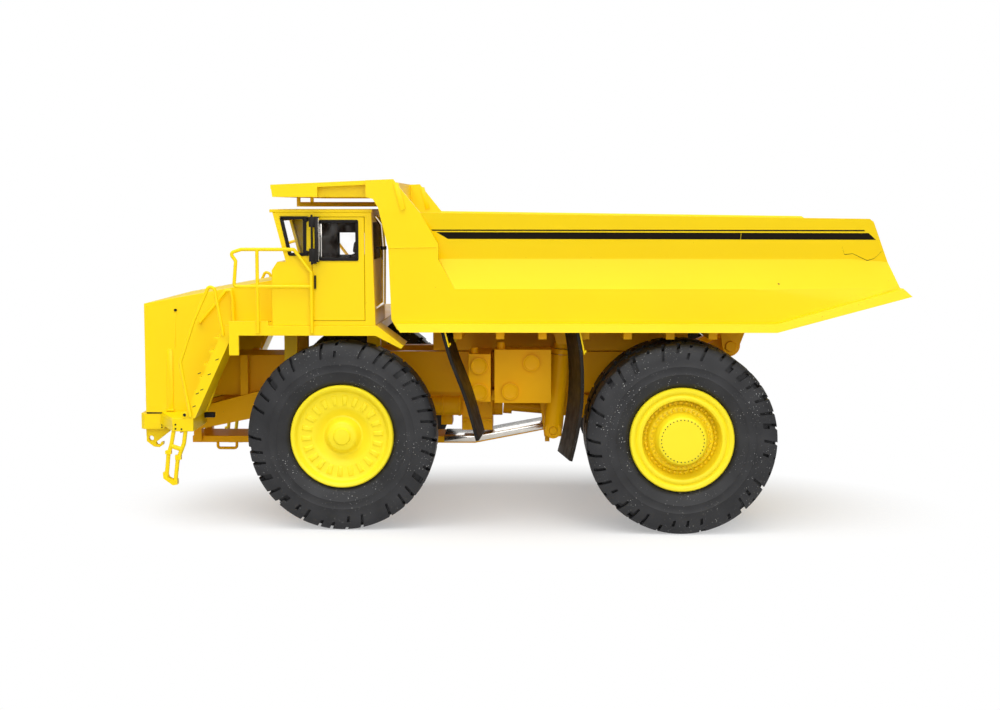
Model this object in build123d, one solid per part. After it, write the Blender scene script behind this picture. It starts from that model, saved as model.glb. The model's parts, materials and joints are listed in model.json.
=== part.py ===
from build123d import *
import math
import os

os.makedirs("parts", exist_ok=True)

# Scale model of a rigid mining dump truck. Every size is in millimetres.
# While it is built, X starts at the front axle and runs to the tail, Y starts at the
# middle line with the driver's side at minus Y, and Z starts at the floor.
# The last lines move the middle of the truck's length to X = 0.

# Wheels
wheelbase = 96.1
tyre_radius = 26.9
tyre_width = 13.7
bead_radius = 14.7
front_track_half = 42.65
dual_track_half = 47.65
dual_gap = 2.6
spindle_radius = 3.0
hub_radius = 8.4
running_gap = 0.08
seat_gap = 0.05

# Steering
kingpin_y = 30.0
kingpin_radius = 1.5
steering_arm = 8.0
link_pin_radius = 0.8
turning_gap = 0.3

# Frame
rail_middle = 11.0
rail_thick = 4.0
rail_top = 48.0
rail_depth = 12.5
rail_bend_x = 8.0
rail_front_x = -54.0
rail_front_top = 29.2
rail_front_depth = 6.5
rail_dip_x = -20.0
rail_dip_top = 38.2

# Bumper and landings
nose_x = -61.2
bumper_half = 33.0
bumper_top = 31.4
bumper_depth = 4.7
bumper_rear_x = -54.0
landing_inset = 2.0
landing_start_x = -55.2
landing_front_x = -48.4
landing_rear_x = -42.4
landing_step = 0.6
landing_thick = 3.8

# Hood
sheet = 1.0
hood_front_x = -59.5
hood_rear_x = -20.5
hood_front_top = 63.8
hood_rear_top = 70.9

# Deck
deck_top = 58.6
deck_thick = 2.8
deck_half = 50.0
deck_front_x = -31.5
deck_rear_x = 10.4
fender_drop = 5.6
fender_run = 7.5

# Cab
cab_inner_y = -19.0
cab_inset = 1.0
cab_top = 90.4
cab_rear_x = 9.9
cab_nose_x = -19.3
screen_foot_x = -15.3
screen_foot_z = 76.6
screen_head_x = -18.9
cab_wall = 0.9
roof_thick = 0.9

# Bed
pivot_behind_axle = 17.9
pivot_z = 50.0
pivot_radius = 1.5
bed_floor = 57.3
bed_top_front = 90.4
bed_top_rear = 88.7
bed_wall = 1.2
bed_half_low = 54.0
bed_fold_z = 80.4
bed_flange_high = 2.4
bed_front_x = 14.8
tail_tip_z = 67.3
groove_low_z = 69.3
groove_crease_z = 77.5
canopy_front_x = -18.5
canopy_front_top = 98.1
canopy_rear_x = 15.6
canopy_rear_top = 99.6
canopy_low = 94.7
beam_gap = 0.3

# Hoist
hoist_y = 19.5
hoist_before_axle = 35.6
hoist_foot_z = 25.0
hoist_rake = 2.5
hoist_head_z = 53.0
hoist_radius = 2.9
hoist_pin_radius = 1.2

axle_z = tyre_radius
rail_inner = rail_middle - rail_thick / 2
rail_outer = rail_middle + rail_thick / 2
rail_low = rail_top - rail_depth
deck_low = deck_top - deck_thick
landing_top = bumper_top + landing_step
landing_low = landing_top - landing_thick
landing_half = deck_half - landing_inset
cab_y_low = -(deck_half - cab_inset)
pivot_x = wheelbase + pivot_behind_axle
rail_rear_x = pivot_x - 4.0
tail_kink_x = pivot_x + 7.7
bed_rear_top_x = pivot_x + 33.7
bed_rear_low_x = pivot_x + 42.2
tail_tip_x = pivot_x + 44.8
hoist_foot_x = wheelbase - hoist_before_axle
hoist_head_x = hoist_foot_x + hoist_rake
bed_half_fold = bed_half_low + 0.6
bed_half_top = bed_half_low + 1.5
bed_flange_half = bed_half_low + 2.0
groove_crease_half = bed_half_low - 3.5
beyond_side = bed_flange_half + 4.0
above_canopy = canopy_rear_top + 10.4


def block(x_low, x_high, y_low, y_high, z_low, z_high):
    """A box between two corners."""
    size = Box(x_high - x_low, y_high - y_low, z_high - z_low)
    return Pos((x_low + x_high) / 2, (y_low + y_high) / 2, (z_low + z_high) / 2) * size


def side_plate(points, y_low, y_high):
    """A plate drawn in the side view, as (x, z) points."""
    face = Face(Wire.make_polygon([(x, y_low, z) for x, z in points]))
    return Solid.extrude(face, Vector(0, y_high - y_low, 0))


def cross_plate(points, x_low, x_high):
    """A plate drawn in the front view, as (y, z) points."""
    face = Face(Wire.make_polygon([(x_low, y, z) for y, z in points]))
    return Solid.extrude(face, Vector(x_high - x_low, 0, 0))


def flat_plate(points, z_low, z_high):
    """A plate drawn from above, as (x, y) points."""
    face = Face(Wire.make_polygon([(x, y, z_low) for x, y in points]))
    return Solid.extrude(face, Vector(0, 0, z_high - z_low))


def bar(start, end, radius):
    """A round bar from one point to another."""
    line = Vector(*end) - Vector(*start)
    return Plane(origin=start, z_dir=line) * Cylinder(
        radius, line.length, align=(Align.CENTER, Align.CENTER, Align.MIN)
    )


def bent_bar(points, radius, bend):
    """A round bar bent at each of its inner points."""
    path = FilletPolyline(*points, radius=bend)
    section = Plane(origin=path @ 0, z_dir=path % 0) * Circle(radius)
    return sweep(section, path=path)


def turned(profile, x, z):
    """A body turned about the wheel axis at x, z, from (radius, y) points."""
    face = Face(Wire.make_polygon([(x + r, y, z) for r, y in profile]))
    return Solid.revolve(face, 360, Axis((x, 0, z), (0, 1, 0)))


def joined(pieces):
    """All pieces fused to one."""
    first, *others = pieces
    return first.fuse(*others)


def other_side(piece):
    """The same piece on the other side of the middle line."""
    return mirror(piece, about=Plane.XZ)


def both_sides(piece):
    """A pair of pieces, one on each side."""
    return [piece, other_side(piece)]


def tyre(x, y_mid):
    """A tyre with its beads, bulging walls and crown, on the plus Y side."""
    half = tyre_width / 2
    crown = half * 0.86
    profile = [
        (bead_radius + seat_gap, y_mid - half * 0.72),
        (bead_radius + seat_gap, y_mid + half * 0.72),
        (bead_radius + 1.2, y_mid + half * 0.84),
        ((bead_radius + tyre_radius) / 2, y_mid + half),
        (tyre_radius - 2.6, y_mid + half * 0.98),
        (tyre_radius - 0.4, y_mid + crown),
        (tyre_radius, y_mid + crown * 0.8),
        (tyre_radius, y_mid - crown * 0.8),
        (tyre_radius - 0.4, y_mid - crown),
        (tyre_radius - 2.6, y_mid - half * 0.98),
        ((bead_radius + tyre_radius) / 2, y_mid - half),
        (bead_radius + 1.2, y_mid - half * 0.84),
    ]
    return turned(profile, x, axle_z)


rim_wall = 1.4
rim_half = tyre_width / 2 * 0.92
dish_y = front_track_half + 1.6
dish_thick = 1.5


def front_rim():
    """Front rim: barrel, dished disc and a domed hub on the steering spindle."""
    inside = bead_radius - rim_wall
    y_in = front_track_half - rim_half
    y_out = front_track_half + rim_half
    bore = spindle_radius + running_gap
    spindle_end = dish_y + dish_thick + 0.6
    profile = [
        (bore, y_in + 2.0),
        (hub_radius - 2.2, y_in + 2.0),
        (hub_radius - 1.2, dish_y),
        (inside, dish_y + 0.8),
        (inside, y_in),
        (bead_radius, y_in),
        (bead_radius, y_out - 1.0),
        (bead_radius - 0.2, y_out),
        (inside + 0.3, y_out),
        (inside - 0.4, dish_y + dish_thick + 0.8),
        (11.6, dish_y + dish_thick + 0.5),
        (8.4, dish_y + dish_thick),
        (5.6, dish_y + dish_thick + 0.5),
        (5.3, dish_y + dish_thick + 2.0),
        (4.2, dish_y + dish_thick + 2.6),
        (2.4, dish_y + dish_thick + 2.6),
        (2.2, dish_y + dish_thick + 3.2),
        (0.0, dish_y + dish_thick + 3.3),
        (0.0, spindle_end),
        (bore, spindle_end),
    ]
    return turned(profile, 0, axle_z)


def rear_rims():
    """Rear rims: one long barrel for both tyres, a deep dish and a proud drive cover."""
    inside = bead_radius - rim_wall
    y_in = dual_track_half - tyre_width - dual_gap - rim_half
    y_out = dual_track_half + rim_half
    bore = rear_spindle_radius + running_gap
    disc = dual_track_half - 4.4
    profile = [
        (bore, y_in + 1.0),
        (hub_radius, y_in + 1.0),
        (hub_radius + 0.4, disc - 1.6),
        (inside, disc - 3.6),
        (inside, y_in),
        (bead_radius, y_in),
        (bead_radius, y_out - 0.9),
        (bead_radius - 0.4, y_out + 0.2),
        (bead_radius - 1.4, y_out),
        (bead_radius - 1.9, y_out - 0.5),
        (bead_radius - 2.9, y_out),
        (bead_radius - 3.7, y_out - 0.9),
        (bead_radius - 4.1, disc + 5.8),
        (bead_radius - 4.6, disc + 5.3),
        (9.1, disc + 6.9),
        (7.9, disc + 7.2),
        (7.35, disc + 8.7),
        (6.8, disc + 11.9),
        (6.2, disc + 12.5),
        (0.0, disc + 12.5),
        (0.0, disc + 1.0),
        (bore, disc + 1.0),
    ]
    return turned(profile, wheelbase, axle_z)


rear_spindle_radius = 4.0
dual_inner_mid = dual_track_half - tyre_width - dual_gap


def rear_tyres():
    """The twin tyres of one rear wheel."""
    return [tyre(wheelbase, dual_inner_mid), tyre(wheelbase, dual_track_half)]


beam_half_high = 4.6
beam_half_wide = 3.5
yoke_thick = 2.0
knuckle_half = beam_half_high - yoke_thick / 2 - 0.1


def front_axle():
    """Axle beam with a yoke and a fixed kingpin at each end."""
    low = axle_z - beam_half_high
    high = axle_z + beam_half_high
    beam = block(-beam_half_wide, beam_half_wide, -kingpin_y + 3.6, kingpin_y - 3.6, low, high)
    pieces = [beam]
    for side in (-1, 1):
        end = side * kingpin_y
        for z_low, z_high in ((low - yoke_thick / 2, low + yoke_thick / 2),
                              (high - yoke_thick / 2, high + yoke_thick / 2)):
            y_low, y_high = sorted((end - side * 4.0, end))
            pieces.append(block(-2.6, 2.6, y_low, y_high, z_low, z_high))
            pieces.append(bar((0, end, z_low), (0, end, z_high), 2.6))
        pieces.append(bar((0, end, low), (0, end, high), kingpin_radius))
    return joined(pieces)


def knuckle():
    """Steering knuckle: barrel on the kingpin, wheel spindle and steering arm."""
    low = axle_z - beam_half_high + yoke_thick / 2 + turning_gap
    high = axle_z + beam_half_high - yoke_thick / 2 - turning_gap
    barrel = bar((0, kingpin_y, low), (0, kingpin_y, high), 2.9)
    spindle = bar((0, kingpin_y, axle_z), (0, dish_y + dish_thick + 0.3, axle_z), spindle_radius)
    arm_top = low + 1.5
    arm = block(0, steering_arm, kingpin_y - 1.3, kingpin_y + 1.3, low, arm_top)
    eye = bar((steering_arm, kingpin_y, low), (steering_arm, kingpin_y, arm_top), 1.6)
    body = joined([barrel, spindle, arm, eye])
    body = body - bar((0, kingpin_y, low - 1), (0, kingpin_y, high + 1),
                      kingpin_radius + running_gap)
    return body - bar((steering_arm, kingpin_y, low - 1), (steering_arm, kingpin_y, high),
                      link_pin_radius + running_gap)


def tie_rod():
    """Rod between the two steering arms, with a pin up through each arm's eye."""
    arm_low = axle_z - beam_half_high + yoke_thick / 2 + turning_gap
    rod_top = arm_low - turning_gap
    rod_z = rod_top - 0.9
    pieces = [bar((steering_arm, -kingpin_y, rod_z), (steering_arm, kingpin_y, rod_z), 0.9)]
    for side in (-1, 1):
        y = side * kingpin_y
        pieces.append(bar((steering_arm, y, rod_z - 1.2), (steering_arm, y, rod_top), 1.6))
        pieces.append(bar((steering_arm, y, rod_z), (steering_arm, y, arm_low + 1.9),
                          link_pin_radius))
    return joined(pieces)


cross_tubes = (
    # x, z, radius
    (-44.0, 28.3, 2.2),
    (14.0, 42.0, 2.6),
    (wheelbase - 48.1, 42.0, 2.6),
    (wheelbase - 12.1, 42.0, 2.6),
)


def frame():
    """Two tapered side rails with cross tubes, engine posts and the bed's pivot pin."""
    rail_points = [
        (rail_front_x, rail_front_top),
        (rail_dip_x, rail_dip_top),
        (rail_bend_x, rail_top),
        (rail_rear_x, rail_top),
        (rail_rear_x, rail_low + 3.0),
        (rail_rear_x - 5.0, rail_low),
        (rail_bend_x, rail_low),
        (rail_front_x, rail_front_top - rail_front_depth),
    ]
    pieces = both_sides(side_plate(rail_points, rail_inner, rail_outer))
    for x, z, radius in cross_tubes:
        pieces.append(bar((x, -rail_middle, z), (x, rail_middle, z), radius))
    pieces.append(bar((pivot_x, -pivot_end, pivot_z), (pivot_x, pivot_end, pivot_z),
                      pivot_radius))
    boss = bar((pivot_x, rail_inner, pivot_z), (pivot_x, rail_outer, pivot_z), 3.4)
    horn = side_plate([(rail_rear_x - 9.0, rail_top - 1.0), (pivot_x, pivot_z + 3.4),
                       (pivot_x, pivot_z - 3.4), (rail_rear_x - 1.0, rail_low + 5.0)],
                      rail_inner, rail_outer)
    post = block(engine_post_x - 1.15, engine_post_x + 1.15, rail_inner + 0.6, rail_outer - 0.6,
                 rail_top_at(engine_post_x) - 1.0, engine_high + 0.3)
    pieces += both_sides(boss) + both_sides(horn) + both_sides(post)
    return joined(pieces)


pivot_end = 17.6
engine_post_x = -34.1
strut_top = 46.5
strut_y = 18.5
strut_radius = 2.5
rear_strut_x = 9.0


def strut_bracket(x):
    """Shelf on the rail that carries the top of a suspension strut."""
    return block(x - 3.2, x + 3.2, rail_outer, strut_y + strut_radius + 0.4,
                 strut_top - 3.0, strut_top)


def hoist_pin():
    """Pin through the plate, which carries a hoist cylinder's foot."""
    return bar((hoist_foot_x, rail_outer, hoist_foot_z),
               (hoist_foot_x, hoist_y + hoist_radius, hoist_foot_z), hoist_pin_radius)


def hoist_bracket():
    """Plate on the rail, bored for the pin at a hoist cylinder's foot."""
    plate = side_plate([
        (hoist_foot_x - 5.5, rail_top - 1.5),
        (hoist_foot_x + 5.5, rail_top - 1.5),
        (hoist_foot_x + 2.6, hoist_foot_z - 2.6),
        (hoist_foot_x - 2.6, hoist_foot_z - 2.6),
    ], rail_outer, hoist_y - hoist_radius - 0.3)
    return plate - bar((hoist_foot_x, rail_outer - 1, hoist_foot_z),
                       (hoist_foot_x, hoist_y, hoist_foot_z), hoist_pin_radius + seat_gap)


def frame_brackets():
    """Strut shelves and hoist plates on the outer faces of the rails."""
    pieces = []
    for bracket in (strut_bracket(0), strut_bracket(wheelbase + rear_strut_x), hoist_bracket()):
        pieces += both_sides(bracket)
    return pieces


def strut(x):
    """Suspension strut: a thin rod on the axle and a barrel under its bracket."""
    low = axle_z + axle_seat(x)
    middle = low + (strut_top - 3.0 - low) * 0.4
    rod = bar((x, strut_y, low), (x, strut_y, middle + 1), strut_radius * 0.6)
    barrel = bar((x, strut_y, middle), (x, strut_y, strut_top - 3.0), strut_radius)
    return rod.fuse(barrel)


def axle_seat(x):
    """Height of the strut's seat over the wheel centre."""
    if x == 0:
        return beam_half_high
    return axle_pad_high


axle_pad_high = 3.0
axle_tube_radius = 5.2
banjo_radius = 8.4


def rear_axle():
    """Axle housing with a round middle, side tubes, spindles and strut pads."""
    y_flange = dual_inner_mid - rim_half + 0.6
    pieces = [
        bar((wheelbase, -y_flange, axle_z), (wheelbase, y_flange, axle_z), axle_tube_radius),
        bar((wheelbase, -rear_spindle_end, axle_z), (wheelbase, rear_spindle_end, axle_z),
            rear_spindle_radius),
        Pos(wheelbase, 0, axle_z) * Sphere(banjo_radius),
        bar((wheelbase - 14.0, 0, axle_z), (wheelbase, 0, axle_z), 3.4),
    ]
    for side in (-1, 1):
        y_low, y_high = sorted((side * (strut_y - 2.6), side * (strut_y + 2.6)))
        pieces.append(block(wheelbase, wheelbase + rear_strut_x + 2.8, y_low, y_high,
                            axle_z + axle_pad_high - 2.6, axle_z + axle_pad_high))
    return joined(pieces)


rear_spindle_end = dual_track_half - 4.4 + 0.6


def rear_links():
    """Trailing frame from the cross tube down to the axle housing's nose."""
    x_front = cross_tubes[2][0]
    tube_z = cross_tubes[2][1]
    arm = side_plate([
        (x_front + 12.0, rail_low),
        (x_front + 20.0, rail_low),
        (wheelbase - 12.0, axle_z + 2.0),
        (wheelbase - 12.0, axle_z - 1.4),
        (x_front + 15.0, tube_z - 14.0),
    ], rail_inner - 2.6, rail_inner)
    bridge = block(wheelbase - 14.0, wheelbase - 12.0, -rail_inner, rail_inner,
                   axle_z - 5.0, axle_z + 5.0)
    return joined(both_sides(arm) + [bridge]) - bar(
        (wheelbase - 16.0, 0, axle_z), (wheelbase, 0, axle_z), 3.4 + seat_gap)


def bumper():
    """Front beam with a raised landing for the stair on each side."""
    low = bumper_top - bumper_depth
    corner = 1.2
    beam = flat_plate([
        (bumper_rear_x, -bumper_half), (nose_x + corner, -bumper_half),
        (nose_x, -bumper_half + corner), (nose_x, bumper_half - corner),
        (nose_x + corner, bumper_half), (bumper_rear_x, bumper_half),
    ], low, bumper_top)
    landing = flat_plate([
        (landing_start_x, bumper_half - 4.0),
        (landing_start_x, bumper_half),
        (landing_front_x, landing_half),
        (landing_rear_x, landing_half),
        (landing_rear_x, bumper_half - 4.0),
    ], landing_low, bumper_top)
    tread = flat_plate([
        (landing_start_x + 0.4, bumper_half + seat_gap),
        (landing_front_x, landing_half),
        (landing_rear_x, landing_half),
        (landing_rear_x, bumper_half + seat_gap),
    ], bumper_top - 0.4, landing_top)
    return joined([beam] + both_sides(landing) + both_sides(tread))


hook_y = 30.0
hook_thick = 1.6
hook_eye_x = -58.6
hook_eye_z = 23.7
hook_eye_radius = 0.75


def tow_hooks():
    """Hooked towing plates under the bumper, each with an eye."""
    top = bumper_top - bumper_depth
    plate = side_plate([
        (hook_eye_x - 1.5, top),
        (hook_eye_x - 1.4, hook_eye_z - 0.9),
        (hook_eye_x + 0.7, hook_eye_z - 2.5),
        (hook_eye_x + 2.4, hook_eye_z - 2.7),
        (hook_eye_x + 3.5, hook_eye_z - 1.9),
        (hook_eye_x + 3.6, hook_eye_z - 1.0),
        (hook_eye_x + 2.9, hook_eye_z - 1.1),
        (hook_eye_x + 2.5, hook_eye_z - 1.9),
        (hook_eye_x + 1.6, hook_eye_z - 1.9),
        (hook_eye_x + 1.3, hook_eye_z - 1.2),
        (hook_eye_x + 5.4, top - 1.0),
        (hook_eye_x + 5.4, top),
    ], hook_y - hook_thick / 2, hook_y + hook_thick / 2)
    eye = bar((hook_eye_x, hook_y - 2, hook_eye_z), (hook_eye_x, hook_y + 2, hook_eye_z),
              hook_eye_radius)
    return both_sides(plate - eye)


hood_skirt_x = -41.5


def hood():
    """Hollow hood: side panels, sloping top and rear wall, open to the front."""
    outline = [
        (hood_front_x, bumper_top),
        (hood_front_x, hood_front_top),
        (hood_rear_x, hood_rear_top),
        (hood_rear_x, deck_top),
        (deck_front_x, deck_top),
        (hood_skirt_x, bumper_top),
    ]
    inner = [
        (hood_front_x - 1, bumper_top - 1),
        (hood_front_x - 1, hood_front_top - sheet - 0.2),
        (hood_rear_x - sheet, hood_rear_top - sheet - 0.2),
        (hood_rear_x - sheet, bumper_top - 1),
    ]
    body = side_plate(outline, -bumper_half, bumper_half)
    return body - side_plate(inner, -bumper_half + sheet, bumper_half - sheet)


slat_count = 13
grille_depth = 1.6


def grille():
    """Radiator grille: a frame filled with upright slats."""
    x_low = hood_front_x + 0.2
    half = bumper_half - sheet - seat_gap
    low = bumper_top + seat_gap
    high = hood_front_top - sheet - 0.3
    body = block(x_low, x_low + grille_depth, -half, half, low, high)
    body = body - block(x_low - 1, x_low + grille_depth + 1, -half + 2.4, half - 2.4,
                        low + 7.0, high - 2.0)
    pieces = [body]
    pitch = 2 * (half - 2.4) / slat_count
    for step in range(1, slat_count):
        y = -half + 2.4 + step * pitch
        pieces.append(block(x_low + 0.3, x_low + grille_depth, y - 0.5, y + 0.5,
                            low + 6.5, high - 1.5))
    return joined(pieces)


lamp_radius = 2.6
lamp_rows = (21.0, 27.4)


def headlamps():
    """Four round headlamps, two each side, on the foot of the grille."""
    x = hood_front_x + 0.2
    lamps = []
    for y in lamp_rows:
        lamp = bar((x - 0.7, y, bumper_top + 3.6), (x, y, bumper_top + 3.6), lamp_radius)
        lamps += both_sides(lamp)
    return lamps


engine_front_x = -46.0
engine_rear_x = 6.0
engine_low = 34.0
engine_high = 46.5


def engine():
    """Engine as one plain block between the rails."""
    half = rail_inner - 0.4
    return block(engine_front_x, engine_rear_x, -half, half, engine_low, engine_high)


def transmission():
    """Gearbox behind the engine, with its deeper rear case and output flange."""
    half = rail_inner - 0.4
    front = block(20.0, 32.5, -half, half, rail_low - 7.7, rail_low + 5.5)
    rear = block(32.5, 42.0, -half + 1.5, half - 1.5, rail_low - 12.5, rail_low + 2.5)
    flange = bar((42.0, 0, shaft_z), (45.0, 0, shaft_z), 3.2)
    return joined([front, rear, flange])


shaft_z = rail_low - 5.5


def drive_shaft():
    """Shaft from the gearbox to the rear axle's nose."""
    end_x = wheelbase - 14.0
    start_x = 45.0
    shaft = bar((start_x + 0.3, 0, shaft_z), (end_x - 0.3, 0, axle_z), 1.7)
    return shaft.fuse(bar((start_x + 0.3, 0, shaft_z), (start_x + 3.0, 0, shaft_z - 0.2), 2.6))


belly_half = 8.0
belly_thick = 2.0
belly_top = 21.1
belly_front_x = -51.2
belly_bend_x = 36.6
belly_rear_x = hoist_foot_x - 0.5


def belly_plate():
    """Guard under the engine and gearbox, with its hangers and two towing loops."""
    low = belly_top - belly_thick
    plate = side_plate([
        (belly_front_x, belly_top), (belly_bend_x, belly_top), (belly_rear_x, belly_top + 4.4),
        (belly_rear_x, low + 4.6), (belly_bend_x, low), (belly_front_x, low),
    ], -belly_half, belly_half)
    pieces = [plate]
    for x_low, x_high in ((belly_front_x + 0.8, belly_front_x + 3.2),
                          (belly_rear_x - 1.8, belly_rear_x - 0.4)):
        hanger = side_plate([
            (x_low, low + 0.8), (x_low, rail_low_at(x_low)),
            (x_high, rail_low_at(x_high)), (x_high, low + 0.8),
        ], belly_half - 1.4, rail_inner + 1.0)
        pieces += both_sides(hanger)
    loop_y = belly_half - 0.8
    loop = bent_bar([
        (loop_front_x, loop_y, low + 0.5), (loop_front_x, loop_y, low - 1.9),
        (loop_front_x + 5.9, loop_y, low - 1.9), (loop_front_x + 5.9, loop_y, low + 0.5),
    ], 0.45, 0.8)
    return joined(pieces + both_sides(loop))


loop_front_x = -43.5


def rail_low_at(x):
    """Height of the rail's bottom edge at x."""
    if x >= rail_bend_x:
        return rail_low
    share = (x - rail_front_x) / (rail_bend_x - rail_front_x)
    front = rail_front_top - rail_front_depth
    return front + share * (rail_low - front)


def deck():
    """Deck plate notched for the hood, with a toe board and drooping rear fenders."""
    slot_half = bumper_half + seat_gap
    plate = block(deck_front_x, deck_rear_x, -deck_half, deck_half, deck_low, deck_top)
    plate = plate - block(deck_front_x - 1, hood_rear_x + seat_gap, -slot_half, slot_half,
                          deck_low - 1, deck_top + 1)
    pieces = [plate]
    fender = side_plate([
        (deck_rear_x - 0.5, deck_top),
        (deck_rear_x, deck_top),
        (deck_rear_x + fender_run, deck_top - fender_drop),
        (deck_rear_x + fender_run - 0.8, deck_top - fender_drop - 0.9),
        (deck_rear_x - 0.5, deck_low),
    ], deck_half - 14.0, deck_half)
    toe_board = block(deck_front_x, cab_nose_x - 1.0, deck_half - 1.0, deck_half,
                      deck_top - 0.5, deck_top + 1.3)
    corner = block(deck_front_x, deck_front_x + 2.8, deck_half - 1.0, deck_half,
                   deck_low - 5.6, deck_low + 0.5)
    pieces += both_sides(fender) + both_sides(toe_board) + both_sides(corner)
    for x in (deck_front_x + 12.0, deck_rear_x - 4.6):
        post = side_plate([
            (x - 2.0, rail_top_at(x - 2.0)), (x - 2.0, deck_low + 0.5),
            (x + 2.0, deck_low + 0.5), (x + 2.0, rail_top_at(x + 2.0)),
        ], rail_inner, rail_outer)
        pieces += both_sides(post)
    return joined(pieces)


def rail_top_at(x):
    """Height of the rail's top edge at x."""
    if x >= rail_bend_x:
        return rail_top
    if x >= rail_dip_x:
        share = (x - rail_dip_x) / (rail_bend_x - rail_dip_x)
        return rail_dip_top + share * (rail_top - rail_dip_top)
    share = (x - rail_front_x) / (rail_dip_x - rail_front_x)
    return rail_front_top + share * (rail_dip_top - rail_front_top)


tube = 0.5
rail_bar_z = 80.1
rail_mid_z = 69.7


def railing():
    """Deck railing on the plus Y side: a loop of top and middle bar on two posts."""
    y = deck_half + tube + seat_gap
    foot = deck_low + 0.8
    post_x = deck_front_x + 8.4
    loop = bent_bar([
        (rail_foot_x, y, foot), (rail_foot_x, y, rail_bar_z - 6.4),
        (rail_foot_x - 4.8, y, rail_bar_z), (deck_front_x + 4.0, y, rail_bar_z),
        (deck_front_x + 0.8, y, rail_bar_z - 1.0), (deck_front_x + 2.4, y, rail_bar_z - 3.2),
        (deck_front_x + 1.8, y, rail_mid_z), (post_x, y, rail_mid_z),
    ], tube, 0.8)
    post = bar((post_x, y, foot), (post_x, y, rail_bar_z - 0.2), tube)
    middle = bar((post_x, y, rail_mid_z), (rail_foot_x, y, rail_mid_z), tube)
    return joined([loop, post, middle])


rail_foot_x = -7.9


stair_inner = bumper_half + 1.0
stair_outer = landing_half
stair_foot_x = -41.5
stair_plate = 1.0
tread_count = 6
tread_deep = 3.0


def stair():
    """Steep stair from the landing to the deck, with a closed back, on the plus Y side."""
    outline = [
        (stair_foot_x - 3.7, landing_top),
        (stair_foot_x - 0.4, landing_top),
        (deck_front_x, deck_low - 1.4),
        (deck_front_x, deck_top),
        (deck_front_x - 1.4, deck_top),
    ]
    back = [
        (stair_foot_x - 1.3, landing_top),
        (stair_foot_x - 0.4, landing_top),
        (deck_front_x, deck_low - 1.4),
        (deck_front_x - 0.9, deck_low - 1.4),
    ]
    pieces = [
        side_plate(outline, stair_inner, stair_inner + stair_plate),
        side_plate(outline, stair_outer - stair_plate, stair_outer),
        side_plate(back, stair_inner + 0.3, stair_outer - 0.3),
    ]
    x_run = deck_front_x - stair_foot_x
    z_run = deck_top - landing_top
    for step in range(1, tread_count + 1):
        share = step / (tread_count + 1)
        x = stair_foot_x - 2.0 + share * (x_run + 0.2)
        z = landing_top + share * z_run
        pieces.append(block(x - tread_deep / 2, x + tread_deep / 2, stair_inner + 0.5,
                            stair_outer - 0.5, z - 0.35, z + 0.35))
    return joined(pieces)


def stair_rail():
    """The two handrails of one stair: outer loop and inner rail on the hood side."""
    y = stair_outer + tube + seat_gap
    top_x = deck_front_x
    top_z = deck_top
    outer = bent_bar([
        (stair_foot_x - 1.5, y, landing_top + 0.5), (stair_foot_x - 4.2, y, landing_top + 16.0),
        (top_x - 10.1, y, top_z + 1.4), (top_x - 5.7, y, top_z + 11.1),
        (top_x - 4.1, y, top_z + 10.4), (top_x - 2.1, y, top_z - 1.0),
        (top_x - 1.9, y, top_z - 3.0),
    ], tube, 0.9)
    y_in = stair_inner + 0.5
    inner = bent_bar([
        (top_x - 11.4, bumper_half + seat_gap, top_z - 0.3), (top_x - 11.4, y_in, top_z - 0.3),
        (top_x - 6.5, y_in, top_z + 5.3), (top_x - 3.6, y_in, top_z + 9.1),
        (top_x - 2.0, y_in, top_z + 9.1), (top_x - 1.6, y_in, top_z + 6.4),
        (top_x - 1.5, y_in, top_z + 0.15),
    ], tube, 0.6)
    return [outer, inner]


def ladder():
    """Short ladder hung under the landing, on the plus Y side."""
    y = stair_outer - 1.0
    x = landing_rear_x
    z = landing_low
    left = bent_bar([
        (x - 5.9, y, z - seat_gap), (x - 6.6, y, z - 3.9), (x - 7.5, y, z - 6.7),
        (x - 8.2, y, z - 13.6),
    ], 0.6, 0.8)
    right = bent_bar([
        (x - 2.5, y, z - seat_gap), (x - 3.0, y, z - 3.6), (x - 4.9, y, z - 8.4),
        (x - 5.6, y, z - 14.2),
    ], 0.6, 0.8)
    rung = bar((x - 6.8, y, z - 4.2), (x - 3.7, y, z - 5.3), 0.65)
    collars = [block(x - 8.3, x - 6.6, y - 0.75, y + 0.75, z - 6.6, z - 5.6),
               block(x - 5.5, x - 3.8, y - 0.75, y + 0.75, z - 8.2, z - 6.9)]
    step = side_plate([
        (x - 9.1, z - 11.9), (x - 8.0, z - 11.8), (x - 7.6, z - 13.3), (x - 5.9, z - 14.3),
        (x - 5.0, z - 13.8), (x - 5.0, z - 15.4), (x - 6.3, z - 15.6), (x - 9.0, z - 13.6),
    ], y - 1.6, y + 0.7)
    return joined([left, right, rung, step] + collars)


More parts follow.
